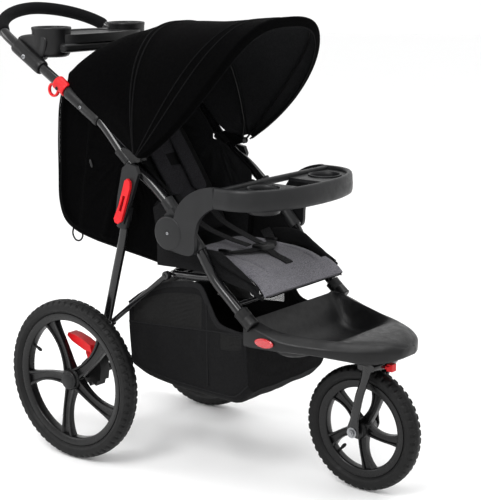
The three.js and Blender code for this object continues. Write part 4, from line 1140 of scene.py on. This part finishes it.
def puff(obj, cap, voxel, pressure=4.0, frames=20):
    """Blows a pad up as cloth, with each point's travel held under cap, in metres."""
    remesh = obj.modifiers.new("remesh", "REMESH")
    remesh.mode = "VOXEL"
    remesh.voxel_size = voxel
    bake_modifiers(obj)
    start = np.array([v.co for v in obj.data.vertices])
    soft = obj.modifiers.new("cloth", "CLOTH")
    soft.settings.quality = 4
    soft.settings.mass = 0.2
    soft.settings.use_pressure = True
    soft.settings.uniform_pressure_force = pressure
    soft.settings.effector_weights.gravity = 0
    scene = bpy.context.scene
    for number in range(1, frames + 1):
        scene.frame_set(number)
    bake_modifiers(obj)
    scene.frame_set(1)
    end = np.array([v.co for v in obj.data.vertices])
    move = end - start
    length = np.linalg.norm(move, axis=1)
    kept = cap * np.tanh(length / cap) / np.maximum(length, 1e-9)
    settled = start + move * kept[:, None]
    obj.data.vertices.foreach_set("co", settled.astype(np.float32).ravel())


def round_off(obj, steps=6):
    """Evens out the voxel steps and shades the pad as one smooth surface."""
    relax = obj.modifiers.new("relax", "SMOOTH")
    relax.factor = 0.5
    relax.iterations = steps
    finer = obj.modifiers.new("finer", "SUBSURF")
    finer.levels = finer.render_levels = 1
    bake_modifiers(obj)
    obj.data.shade_smooth()


def press_seams(obj, lines, depth, width):
    """Sinks the surface along sewn lines, given as rows of points in mm."""
    seam = in_frame(np.vstack(lines))
    mesh = obj.data
    places = np.array([v.co for v in mesh.vertices])
    normals = np.array([v.normal for v in mesh.vertices])
    nearest = np.full(len(places), 1e9)
    for chunk in np.array_split(seam, max(1, len(seam) // 60)):
        apart = np.linalg.norm(places[:, None, :] - chunk[None, :, :], axis=2).min(1)
        nearest = np.minimum(nearest, apart)
    sink = depth / 1000 * np.exp(-(nearest / (width / 1000)) ** 2)
    mesh.vertices.foreach_set("co", (places - normals * sink[:, None]).astype(np.float32).ravel())


def pad_piece(name, stations, look, body, stands_for=(), cap=0.007, voxel=0.006, seams=()):
    obj = bare_object(name, pad_mesh(stations), None)
    puff(obj, cap, voxel)
    round_off(obj)
    if seams:
        press_seams(obj, seams, 3.2, 4.5)
    settle(obj, look, body, stands_for)
    return obj


def back_point(share, x, lift):
    """A point at a share of the seat back's height, lifted off its middle plane."""
    return (x, SEAT_BACK_FOOT[0] + SEAT_BACK_RISE[0] * share + SEAT_BACK_NORMAL[0] * lift,
            SEAT_BACK_FOOT[1] + SEAT_BACK_RISE[1] * share + SEAT_BACK_NORMAL[1] * lift)


CUSHION = [(-214, 516, 124, 16, 0.08, 1, 0), (-240, 516, 136, 26, 0.08, 1, 0),
           (-340, 514, 144, 28, 0.08, 1, 0),
           (-440, 503, 146, 28, 0.12, 1, 0), (-488, 486, 146, 27, 0.4, 0.9, 0),
           (-508, 472, 143, 16, 0.6, 0.7, 0)]
front_seam = smooth_line(mirrored([(-136, -484, 505), (-70, -486, 506)], (0, -487, 506)), 3)
middle_seams = []
for s in (-1, 1):
    seam = [(s * 84, -250, 532), (s * 88, -340, 532), (s * 92, -430, 524), (s * 94, -484, 506)]
    middle_seams.append(smooth_line(seam, 3))
pad_piece("seat_pad", CUSHION, "grey cloth", "upper_frame", ["seat_cushion"], 0.006, 0.006,
          [front_seam, *middle_seams])


# The rolled front edge of the seat as (y, z, half width).
HEM = [(-470, 500.5, 148), (-482, 495, 150), (-494, 487, 153), (-505, 478, 156), (-513, 470.5, 157.5),
       (-516, 467, 157)]
hem_rings = []
for y, z, half in HEM:
    thick = 4.2 if y > -512 else 3.0
    hem_rings.append([(c[0] * half, y - c[1] * thick * 0.5, z + c[1] * thick) for c in circle(1, 56,
                                                                                              power=9)])
seat_hem = piece("seat_hem", loft(hem_rings), "grey cloth", "upper_frame", sharp_angle=50)
HEM_SIDE = [(-146, -466, 500), (-152, -490, 488), (-157, -510, 471.5), (-150, -516.5, 466),
            (-75, -517.5, 465)]
hem_cord = smooth_line(mirrored(HEM_SIDE, (0, -518, 464.6)), 5)
piece("hem_piping", sweep(hem_cord, circle(1.5, 8)), "piping", "upper_frame")


def back_station(share, half, thick):
    _, y, z = back_point(share, 0, 0)
    return (y, z, half, thick, *SEAT_BACK_NORMAL, 0)


back_seams = [smooth_line([back_point(t, s * 62, 17) for t in (0.12, 0.35, 0.6, 0.86)], 3) for s in (-1, 1)]
back_seams += [smooth_line([back_point(t, x, 17) for x in (-118, -40, 40, 118)], 3) for t in (0.36, 0.64)]
pad_piece("seat_back_pad",
          [back_station(0, 112, 14), back_station(0.1, 124, 24), back_station(0.5, 132, 26),
                            back_station(0.9, 120, 22), back_station(1, 104, 10)], "black cloth",
          "seat_back",
          ["seat_back_cushion"], 0.006, 0.007, back_seams)
# The inserts are the grey melange darkened as painted shade.
for name, low, high, half_low, half_high in (("lower", 0.1, 0.5, 58, 62), ("upper", 0.55, 0.9, 64, 84)):
    insert = [back_point(t, 0, 14.5) for t in (low, (low + high) / 2, high)]
    halves = (half_low, (half_low + half_high) / 2, half_high)
    thick = (8, 13, 8)
    stations = [(p[1], p[2], h, d, *SEAT_BACK_NORMAL, 0) for p, h, d in zip(insert, halves, thick)]
    pad_piece(f"back_insert_{name}", stations, "grey cloth in painted shade", "seat_back", (), 0.003, 0.005)
for side, sign in SIDES:
    x = sign * 160
    pad_piece(f"bolster_{side}", [(-300, 541, 5, 28, 0.08, 1, x), (-350, 538, 8, 44, 0.08, 1, x),
                                  (-398, 533, 8.5, 40, 0.2, 0.97, x), (-434, 514, 8.5, 40, 0.35, 0.92, x),
                                  (-482, 485, 8.5, 38, 0.4, 0.9, x), (-510, 466, 5, 22, 0.6, 0.8, x)],
              "black cloth", "upper_frame", [f"seat_bolster_{side}"], 0.003, 0.004)

# ---------------------------------------------------------------- harness
BUCKLE = (0, -392, 534)
WEBBING = strap_section(25, 2.4)


def rounded_box(centre, size, power=4.0, rings=9):
    """A softened block: a squarish ring lofted along Z with rounded ends."""
    heights = np.linspace(-1, 1, rings)
    made = []
    for h in heights:
        scale = (1 - abs(h) ** 6) ** (1 / 6) if abs(h) < 1 else 0.55
        ring = circle(1, 32, power=power)
        made.append([(centre[0] + c[0] * size[0] / 2 * scale, centre[1] + c[1] * size[1] / 2 * scale,
                      centre[2] + h * size[2] / 2) for c in ring])
    return loft(made)


buckle = bare_object("buckle_case", rounded_box((0, BUCKLE[1], BUCKLE[2] + 8), (50, 42, 15)), 60)
cut_away(buckle, lathe([(0.5, 541.5), (11.6, 541.5), (11.6, 560), (0.5, 560)], (0, BUCKLE[1], 0), "z"))
settle(buckle, "black plastic", "upper_frame", ["harness_buckle"])
button = lathe([(0.5, 545), (10.4, 545), (11, 546), (11, 550.4), (10, 551.6), (7, 551.2), (0.5, 550.6)],
               (0, BUCKLE[1], 0), "z", 40)
piece("release_button", button, "grey plastic", "buckle_button", ["buckle_button"])


def bending_strap(name, line, section, look, sizes=None, across=(1, 0, 0)):
    """A strap swept along a line from the seat back down to the seat."""
    obj = bare_object(name, sweep(line, section, across, sizes), 50)
    settle(obj, look, None)
    placed(0, -262, 560)
    placed(0, -190, 590)
    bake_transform(obj)
    return obj


for side, sign in SIDES:
    shoulder = smooth_line([back_point(0.84, sign * 50, 17), back_point(0.6, sign * 48, 22),
                            back_point(0.4, sign * 46, 24), back_point(0.24, sign * 42, 27),
                            (sign * 38, -232, 584), (sign * 32, -300, 560), (sign * 22, -366, 545)], 5)
    bending_strap(f"shoulder_strap_{side}", shoulder, WEBBING, "webbing")
    pad_line = smooth_line([back_point(0.78, sign * 49.5, 22), back_point(0.6, sign * 48, 26),
                            back_point(0.4, sign * 46, 28), back_point(0.27, sign * 43, 30)], 4)
    sleeve = sweep(pad_line, strap_section(50, 11), (1, 0, 0), rounded_ends(len(pad_line), 0.1))
    # The shoulder pads are the grey melange darkened as painted shade.
    shoulder_pad = piece(f"shoulder_pad_{side}", sleeve, "grey cloth in painted shade", "seat_back", sharp_angle=None)
    waist = smooth_line([(sign * 148, -286, 548), (sign * 120, -318, 541), (sign * 80, -356, 537.5),
                         (sign * 44, -384, 538.5), (sign * 22, -392, 541)], 5)
    piece(f"waist_strap_{side}", sweep(waist, WEBBING, (0.3 * sign, 1, 0)), "webbing",
          "upper_frame")
    piece(f"strap_slide_{side}", rounded_box((sign * 92, -347, 541), (12, 34, 8)), "black plastic",
          "upper_frame")
crotch = smooth_line([(0, -470, 514), (0, -450, 521), (0, -428, 527), (0, -410, 537)], 3)
piece("crotch_strap", sweep(crotch, strap_section(28, 3.2), (1, 0, 0)), "webbing", "upper_frame")


# ---------------------------------------------------------------- sheets of cloth
# Thickness of the cloths in mm.
COVER_CLOTH, PLAIN_CLOTH, NET_CLOTH = 2.2, 2.0, 1.0


def cloth_sheet(name, rows, look, thickness, keep=None, inside=None):
    """A sheet from rows of points, with UVs in metres and a real thickness.

    look is the material of the sheet's own faces, and inside that of the faces on its other side.
    The canopy's and the tub's own faces look inwards, so on them inside is what shows from outside.
    """
    rows = np.array(rows, float)
    count, columns = rows.shape[:2]
    faces = grid_faces(count, columns)
    if keep is not None:
        faces = [f for f in faces if keep(f[0] // columns, f[0] % columns)]
    used = sorted({v for face in faces for v in face})
    renumber = {v: k for k, v in enumerate(used)}
    points = rows.reshape(-1, 3)[used]
    mesh = bpy.data.meshes.new(name)
    mesh.from_pydata([tuple(p) for p in in_frame(points)], [],
                     [tuple(renumber[v] for v in f) for f in faces])
    across = np.concatenate([np.zeros((count, 1)),
                             np.linalg.norm(np.diff(rows, axis=1), axis=2).cumsum(1)], 1)
    down = np.concatenate([np.zeros((1, columns)),
                           np.linalg.norm(np.diff(rows, axis=0), axis=2).cumsum(0)], 0)
    across = np.tile(across.max(0), (count, 1))
    down = np.tile(down.max(1)[:, None], (1, columns))
    uv = np.stack([across, down], 2).reshape(-1, 2)[used] / 1000
    layer = mesh.uv_layers.new(name="UVMap")
    for loop in mesh.loops:
        layer.data[loop.index].uv = tuple(uv[loop.vertex_index])
    obj = linked(name, mesh)
    thick = obj.modifiers.new("thickness", "SOLIDIFY")
    thick.thickness = thickness / 1000
    thick.offset = 0
    settle(obj, look, None)
    if inside:
        mesh.materials.append(LOOKS[inside][0])
        thick.material_offset = 1
    bake_modifiers(obj)
    obj.data.shade_smooth()
    obj.data.set_sharp_from_angle(angle=math.radians(60))
    return obj


def joined(name, *objects):
    """Several meshes as one object that keeps each one's material."""
    shape = bmesh.new()
    materials = []
    first_slot = objects[0].get("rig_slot")
    for obj in objects:
        first = len(shape.faces)
        shape.from_mesh(obj.data)
        shape.faces.ensure_lookup_table()
        for face in shape.faces[first:]:
            face.material_index += len(materials)
        materials += list(obj.data.materials)
    mesh = bpy.data.meshes.new(name)
    shape.to_mesh(mesh)
    shape.free()
    for material in materials:
        mesh.materials.append(material)
    for obj in objects:
        bpy.data.objects.remove(obj)
    made = linked(name, mesh)
    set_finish(made, first_slot)
    return made


# ---------------------------------------------------------------- canopy
# Rings as (top y, top z, half width, power), from the rear edge to the front bow.
CANOPY_RINGS = [(82, 952, 204, 8), (42, 990, 209, 6.6), (-8, 1028, 213, 4.6), (-70, 1053, 217, 3.0),
                (-137, 1069, 219, 2.4), (-228, 1077, 221, 2.7), (-340, 1083, 222, 3.0),
                (-460, 1089, 223, 3.2)]
MIDDLE_RING = 4
FRONT_RING = 7
BRIM_DEPTH = 24
VISOR_SEAM = 6.42  # the visor is the band between this seam and the front bow
VISOR_BULGE = 36
HUB_GAP = 13  # the cloth stops this far from the line across the canopy's pivots
CLOTH_INSET = 1.2
CLOTH_DROOP = 7.5
SKIRT_DROP = 31


def canopy_ring(place):
    """The ring at a place from 0, the rear edge, to FRONT_RING, the front bow."""
    fine = smooth_line(CANOPY_RINGS, 1e9)
    marks = np.linspace(0, FRONT_RING, len(fine))
    return [float(np.interp(place, marks, fine[:, k])) for k in range(4)]


def canopy_row(place, inset=0.0, count=72, sag=True):
    top_y, top_z, half, power = canopy_ring(place)
    dy, dz = top_y - CANOPY_PIVOT[0], top_z - CANOPY_PIVOT[1]
    rise = math.hypot(dy, dz)
    direction = (dy / rise, dz / rise)
    start = math.asin((HUB_GAP / rise) ** (power / 2))
    across_up = arch(half - inset, rise - inset, power, count, start)
    if place <= MIDDLE_RING:
        span = place / MIDDLE_RING
    else:
        span = (place - MIDDLE_RING) / (FRONT_RING - MIDDLE_RING)
    droop = CLOTH_DROOP * math.sin(math.pi * (span % 1.0)) ** 0.8 if sag and 0 < span % 1.0 else 0.0
    visor = max(0.0, (place - VISOR_SEAM) / (FRONT_RING - VISOR_SEAM)) if sag else 0.0
    row = []
    for k, (x, up) in enumerate(across_up):
        t = k / (count - 1)
        forward = VISOR_BULGE * visor ** 0.8 * math.sin(math.pi * min(1.0, up / rise)) ** 0.8
        crown = math.sin(math.pi * t) ** 0.7
        ripple = 0.9 * math.sin(place * 5.1 + t * 23) * math.sin(math.pi * t)
        ripple += 0.7 * math.sin(t * 41 + place * 2.3)
        pull = 1 - (droop * crown + ripple * 0.6) / max(rise, 1)
        row.append((x * (1 - 0.35 * droop * crown / half),
                    CANOPY_PIVOT[0] + up * pull * direction[0] - forward * direction[1],
                    CANOPY_PIVOT[1] + up * pull * direction[1] + forward * direction[0]))
    return row


def rear_skirt_row(share):
    """Cloth that hangs from the rear edge down to the handle tube."""
    row = np.array(canopy_row(0, CLOTH_INSET))
    drop = SKIRT_DROP * share * np.minimum(1, np.linspace(0.3, 16, len(row)))
    drop = np.minimum(drop, drop[::-1])
    row[:, 0] *= 1 - 0.06 * share
    row[:, 1] += 0.55 * drop
    row[:, 2] -= 0.83 * drop
    return row


def brim_row(share):
    """The rolled brim: the cloth goes on round the front bow and turns inwards."""
    edge = np.array(canopy_row(FRONT_RING, CLOTH_INSET))
    inner = np.array(canopy_row(FRONT_RING, BRIM_DEPTH))
    row = edge + (inner - edge) * (1 - math.cos(share * math.pi / 2))
    row[:, 1] -= 9 * math.sin(share * math.pi / 2)
    return row


def canopy_cord(place, radius, inset):
    return sweep(np.array(canopy_row(place, inset)), circle(radius, 8))


def build_canopy():
    rows = [rear_skirt_row(share) for share in (1.0, 0.75, 0.5, 0.25)]
    rows += [canopy_row(p, CLOTH_INSET) for p in np.linspace(0, FRONT_RING, 84)]
    rows += [brim_row(share) for share in np.linspace(0.1, 1, 8)]
    # The canopy's other side takes the lining, the black fabric darkened as painted shade.
    shell = cloth_sheet("canopy_shell", rows, "charcoal", COVER_CLOTH, inside="painted_shade_lining")
    seams = [canopy_cord(MIDDLE_RING + step, 2.3, 0.2) for step in (-0.1, 0.14)]
    seams += [canopy_cord(VISOR_SEAM + step, 1.9, 0.3) for step in (0, 0.16)]
    seams.append(sweep(np.array(brim_row(1.0)), circle(2.2, 8)))
    piping = bare_object("canopy_piping", merged(*seams))
    settle(piping, "piping", None)
    hem = bare_object("canopy_hem", sweep(rear_skirt_row(1.0), circle(3.0, 8)))
    settle(hem, "charcoal", None)
    canopy = joined("canopy_cover", shell, piping, hem)
    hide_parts("canopy_fabric")
    placed(0, 70, 963)
    placed(0, -460, 1089)
    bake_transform(canopy)
    pivot = placed(0, *CANOPY_PIVOT)


build_canopy()
for name, ring, hub_x, inset in (("middle", MIDDLE_RING, 199, 9.5), ("front", FRONT_RING, 206.5, 15)):
    top_y, top_z, _, _ = CANOPY_RINGS[ring]
    dy, dz = top_y - CANOPY_PIVOT[0], top_z - CANOPY_PIVOT[1]
    rise = math.hypot(dy, dz)
    neck = (CANOPY_PIVOT[0] + 15 * dy / rise, CANOPY_PIVOT[1] + 15 * dz / rise)
    arc = canopy_row(ring, inset, 40, False)[1:-1]
    bow = mirrored([point(-hub_x, CANOPY_PIVOT), point(-hub_x, neck)], *arc)
    bow_parts = [sweep(smooth_line(bow, 6), circle(2.5, 12))]
    for side, sign in SIDES:
        hub = [(3.2, hub_x - 1.5), (7.4, hub_x - 1.5), (8, hub_x - 0.8), (8, hub_x + 0.8),
               (7.4, hub_x + 1.5), (3.2, hub_x + 1.5)]
        bow_parts.append(lathe([(r, sign * p) for r, p in hub], (0, *CANOPY_PIVOT), sides=28, closed=True))
    piece(f"bow_wire_{name}", merged(*bow_parts), "bow", f"canopy_{name}", [f"canopy_bow_{name}"])


# ---------------------------------------------------------------- back cloth
BACK_HALF = 167
BACK_HUB = (-112, 768)  # the side panels fan out from here, on the handle tube
BACK_EDGE = [(20, 944), (52, 940), (80, 930), (104, 914), (122, 868), (130, 790), (132, 700),
             (131, 615), (114, 572), (80, 549), (20, 533), (-60, 521), (-150, 509), (-226, 498)]
FRONT_EDGE = [(-226, 498), (-232, 560), (-240, 620), (-248, 670), (-206, 708), (-162, 740)]
SIDE_COLUMNS = 34
# Folds down the side panel as (y, z).
REAR_FOLD = [(5, 868), (11, 837), (28, 732), (45, 630), (60, 550)]
FRONT_FOLD = [(-82, 706), (-78, 693), (-56, 617), (-29, 542)]


def gusset(y, z):
    """How far the side panel stands out: it steps in behind one fold and rises along another."""
    rear = y - np.interp(-z, [-p[1] for p in REAR_FOLD], [p[0] for p in REAR_FOLD])
    step = -9.0 / (1 + math.exp(-rear / 3.0)) + 3.5 * math.exp(-(rear / 9) ** 2)
    front = y - np.interp(-z, [-p[1] for p in FRONT_FOLD], [p[0] for p in FRONT_FOLD])
    fade = 1 / (1 + math.exp((z - 690) / 14))
    return step + 6.0 * fade * math.exp(-(front / 10) ** 2)


def build_back_cloth():
    """A tub of cloth behind the seat: side panels fan out from the handle tube."""
    edge = smooth_line(BACK_EDGE, 11)
    front = smooth_line(FRONT_EDGE, 11)[1:]
    corner = 26
    rows = []
    hub = np.array(BACK_HUB)
    for number, (y, z) in enumerate(np.vstack([edge, front])):
        reach = np.array((y - BACK_HUB[0], z - BACK_HUB[1]))
        length = np.linalg.norm(reach)
        direction = reach / length
        inner = max(length - corner, length * 0.7)
        side_panel = []
        for share in np.linspace(0.04, 1, SIDE_COLUMNS):
            r = inner * share
            fold = 2.4 * math.sin(number * 0.55 + share * 3) * math.sin(math.pi * share) ** 2
            fold += 1.6 * math.sin(number * 0.21 - share * 9) * math.sin(math.pi * share)
            spot = hub + direction * r
            side_panel.append((BACK_HALF - abs(fold) * 0.8 + gusset(*spot), *spot))
        turn = []
        for t in np.linspace(0.15, 1, 6):
            x = BACK_HALF - corner * (1 - math.cos(t * math.pi / 2))
            r = inner + (length - inner) * math.sin(t * math.pi / 2)
            turn.append((x, *(hub + direction * r)))
        flat = []
        for x in np.linspace(BACK_HALF - corner - 12, 0, 8)[:-1]:
            wave = 2.6 * math.sin(x * 0.055 + number * 0.37) * math.sin(number * 0.24)
            flat.append((x, *(hub + direction * (length + wave * 0.8))))
        half_row = np.array(side_panel + turn + flat)
        middle = np.array([(0, *(hub + direction * (length - 1.2)))])
        other = half_row[::-1].copy()
        other[:, 0] *= -1
        rows.append(np.vstack([half_row, middle, other]))
    columns = len(rows[0])
    across_from, across_to = SIDE_COLUMNS - 1, columns - SIDE_COLUMNS

    def keep(row, column):
        return row < len(edge) - 1 or column < across_from or column >= across_to

    # The tub's other side takes the lining, the black fabric darkened as painted shade.
    tub = cloth_sheet("back_tub", rows, "charcoal", COVER_CLOTH, keep, "painted_shade_lining")
    seams = []
    for sign in (-1, 1):
        rim = [(sign * (BACK_HALF - 7), *(hub + (p - hub) * 0.985)) for p in edge[9:-2]]
        seams.append(sweep(smooth_line(rim, 9), circle(2.0, 8)))
        hem_line = [(sign * (BACK_HALF - 0.5), *p) for p in front]
        seams.append(sweep(smooth_line(hem_line, 9), circle(3.0, 8)))
    bottom = smooth_line([(x, -226, 498) for x in (-140, -60, 0, 60, 140)], 9)
    seams.append(sweep(bottom, circle(3.0, 8)))
    top = np.array(rows[0])[14:-14]
    seams.append(sweep(top, circle(3.0, 8)))
    piping = bare_object("back_piping", merged(*seams))
    settle(piping, "piping", None)
    tub = joined("back_cover", tub, piping)
    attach(tub, "upper_frame")
    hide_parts("back_fabric")


build_back_cloth()
loop_line = smooth_line([(-150, 92, 556), (-150, 96, 536), (-150, 86, 522), (-150, 72, 522),
                         (-150, 62, 534),
                         (-150, 66, 552)], 3)
piece("recline_loop", sweep(loop_line, circle(2.2, 12)), "webbing", "upper_frame")
zip_line = np.linspace((-167.5, 14, 735), (-168.5, 6, 716), 9)
zip_pull = sweep(zip_line, strap_section(7, 2.4), (0, 1, 0), rounded_ends(9, 0.3))
piece("zip_pull", zip_pull, "black plastic", "upper_frame")


WING_TOP = [(-196, 640), (-226, 664), (-262, 632), (-300, 598), (-342, 572), (-374, 546), (-402, 524),
            (-443, 510),
            (-500, 488)]
WING_FOOT = [(-208, 503), (-224, 503), (-252, 504), (-284, 505), (-324, 505), (-358, 504), (-390, 498),
             (-440, 486),
             (-498, 472)]


def build_side_wings():
    """Cloth between the seat edge and the frame tube, on each side of the seat."""
    top, foot = smooth_line(WING_TOP, 12), smooth_line(WING_FOOT, 12)
    marks = np.linspace(0, 1, 40)
    edge = []
    for line in (top, foot):
        places = np.linspace(0, 1, len(line))
        edge.append(np.stack([np.interp(marks, places, line[:, k]) for k in (0, 1)], 1))
    for side, sign in SIDES:
        rows = []
        for number, (high, low) in enumerate(zip(*edge)):
            row = []
            for share in np.linspace(0, 1, 12):
                y, z = high + (low - high) * share
                wave = 2.4 * math.sin(number * 0.27 + share * 3) * math.sin(math.pi * share)
                wave *= min(1, (39 - number) / 8)
                inward = 14 * max(0.0, (number - 30) / 9) ** 1.5
                row.append((sign * (174.5 - inward - 3 * math.sin(math.pi * share) - abs(wave)), y, z))
            rows.append(row)
        wing = cloth_sheet(f"wing_cloth_{side}", rows, "black cloth", PLAIN_CLOTH)
        hem_line = [row[0] for row in rows[1:-1]]
        hem = bare_object(f"wing_hem_{side}", sweep(hem_line, circle(2.6, 10)))
        settle(hem, "piping", None)
        wing = joined(f"side_wing_{side}", wing, hem)
        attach(wing, "upper_frame")


build_side_wings()


# ---------------------------------------------------------------- basket
WALL_COLUMNS = 13
SEAM_COLUMN = 5  # this column of the wall follows the piped seam
NET_ABOVE = (-330, -118)  # netting above the seam lies between these y
NET_BELOW = (-452, -384)  # and the two rows of it below the seam between these
BINDING = strap_section(14, 4.4)  # the tape sewn round the mouth of the tub


def build_basket():
    """A soft tub slung between the legs and the seat frame, with netting windows."""
    ends = [(-104, 388, 164, 224), (-150, 420, 166, 208), (-210, 450, 166, 199), (-280, 464, 166, 195),
            (-328, 464, 166, 193), (-352, 428, 166, 192), (-382, 382, 166, 192), (-430, 369, 166, 194),
            (-466, 366, 163, 226)]
    stations = smooth_line(ends, 11)
    rows = []
    for number, (y, top, half, bottom) in enumerate(stations):
        wall = []
        seam_z = 342 - 0.069 * (y + 58)
        for column in range(WALL_COLUMNS):
            share = column / (WALL_COLUMNS - 1)
            z = np.interp(column, (0, SEAM_COLUMN, WALL_COLUMNS - 1), (top, seam_z, bottom + 30))
            bulge = 3.0 * math.sin(math.pi * share)
            bulge += 1.8 * math.sin(number * 0.7 + share * 4) * share * (1 - share) * 4
            wall.append((half - 3.5 + bulge * 0.6 - 4 * share ** 3, y, z))
        turn = []
        for t in np.linspace(0.2, 1, 5):
            turn.append((half - 7.5 - 26 * (1 - math.cos(t * math.pi / 2)), y,
                         bottom + 30 - 30 * math.sin(t * math.pi / 2)))
        base = []
        for x in np.linspace(half - 50, 0, 9)[:-1]:
            sag = -3.0 * math.cos(x / half * math.pi / 2) + 1.3 * math.sin(number * 0.9 + x * 0.06)
            base.append((x, y, bottom + 2 + sag))
        half_row = np.array(wall + turn + base)
        middle = np.array([(0, y, bottom - 1.5)])
        other = half_row[::-1].copy()
        other[:, 0] *= -1
        rows.append(np.vstack([half_row, middle, other]))
    rows = np.array(rows)
    columns = rows.shape[1]

    def window(row, column):
        side_column = min(column, columns - 2 - column)
        y = rows[row, column, 1]
        above = 1 <= side_column < SEAM_COLUMN and NET_ABOVE[0] < y < NET_ABOVE[1]
        below = SEAM_COLUMN <= side_column < SEAM_COLUMN + 2 and NET_BELOW[0] < y < NET_BELOW[1]
        return above or below

    walls = cloth_sheet("basket_walls", rows, "black cloth", PLAIN_CLOTH, lambda r, c: not window(r, c))
    nets = cloth_sheet("basket_nets", rows, "net", NET_CLOTH, window)
    end_panels = []
    for index in (0, -1):
        rim = rows[index]
        floor_z = rim[:, 2]
        lift = np.linspace(0, 1, 9)[:, None, None]
        top_z = floor_z.max()
        panel = np.repeat(rim[None], 9, 0).copy()
        panel[:, :, 2] = floor_z[None] + (np.minimum(top_z, rim[0, 2]) - floor_z[None]) * lift[:, :, 0]
        panel[:, :, 1] += 4 * np.sin(math.pi * lift[:, :, 0]) * np.cos(rim[None, :, 0] / 166 * 1.5)
        end_panels.append(cloth_sheet(f"basket_end_{index}", panel, "black cloth", PLAIN_CLOTH))
    cords = []
    for sign in (-1, 1):
        rim = np.array([(sign * r[0, 0], r[0, 1], r[0, 2]) for r in rows])
        cords.append(sweep(rim, BINDING, (0, 0, 1)))
        for column, radius in ((WALL_COLUMNS, 1.6), (SEAM_COLUMN, 2.2)):
            cord = np.array([(sign * (r[column, 0] + 1.2), r[column, 1], r[column, 2]) for r in rows])
            cords.append(sweep(cord, circle(radius, 8)))
        cords.append(sweep(np.linspace((sign * 164.6, -350, 424), (sign * 161.5, -350, 226), 20),
                           circle(2.2, 8)))
    for y, z in ((-104, 388), (-466, 366)):
        cords.append(sweep(np.linspace((-162, y, z), (162, y, z), 24), BINDING, (0, 0, 1)))
    binding = bare_object("basket_binding", merged(*cords))
    settle(binding, "webbing", None)
    basket = joined("basket_tub", walls, nets, *end_panels, binding)
    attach(basket, "rear_frame")
    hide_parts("basket")
    placed(0, -90, 300)
    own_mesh(basket)


build_basket()

bpy.context.view_layer.update()
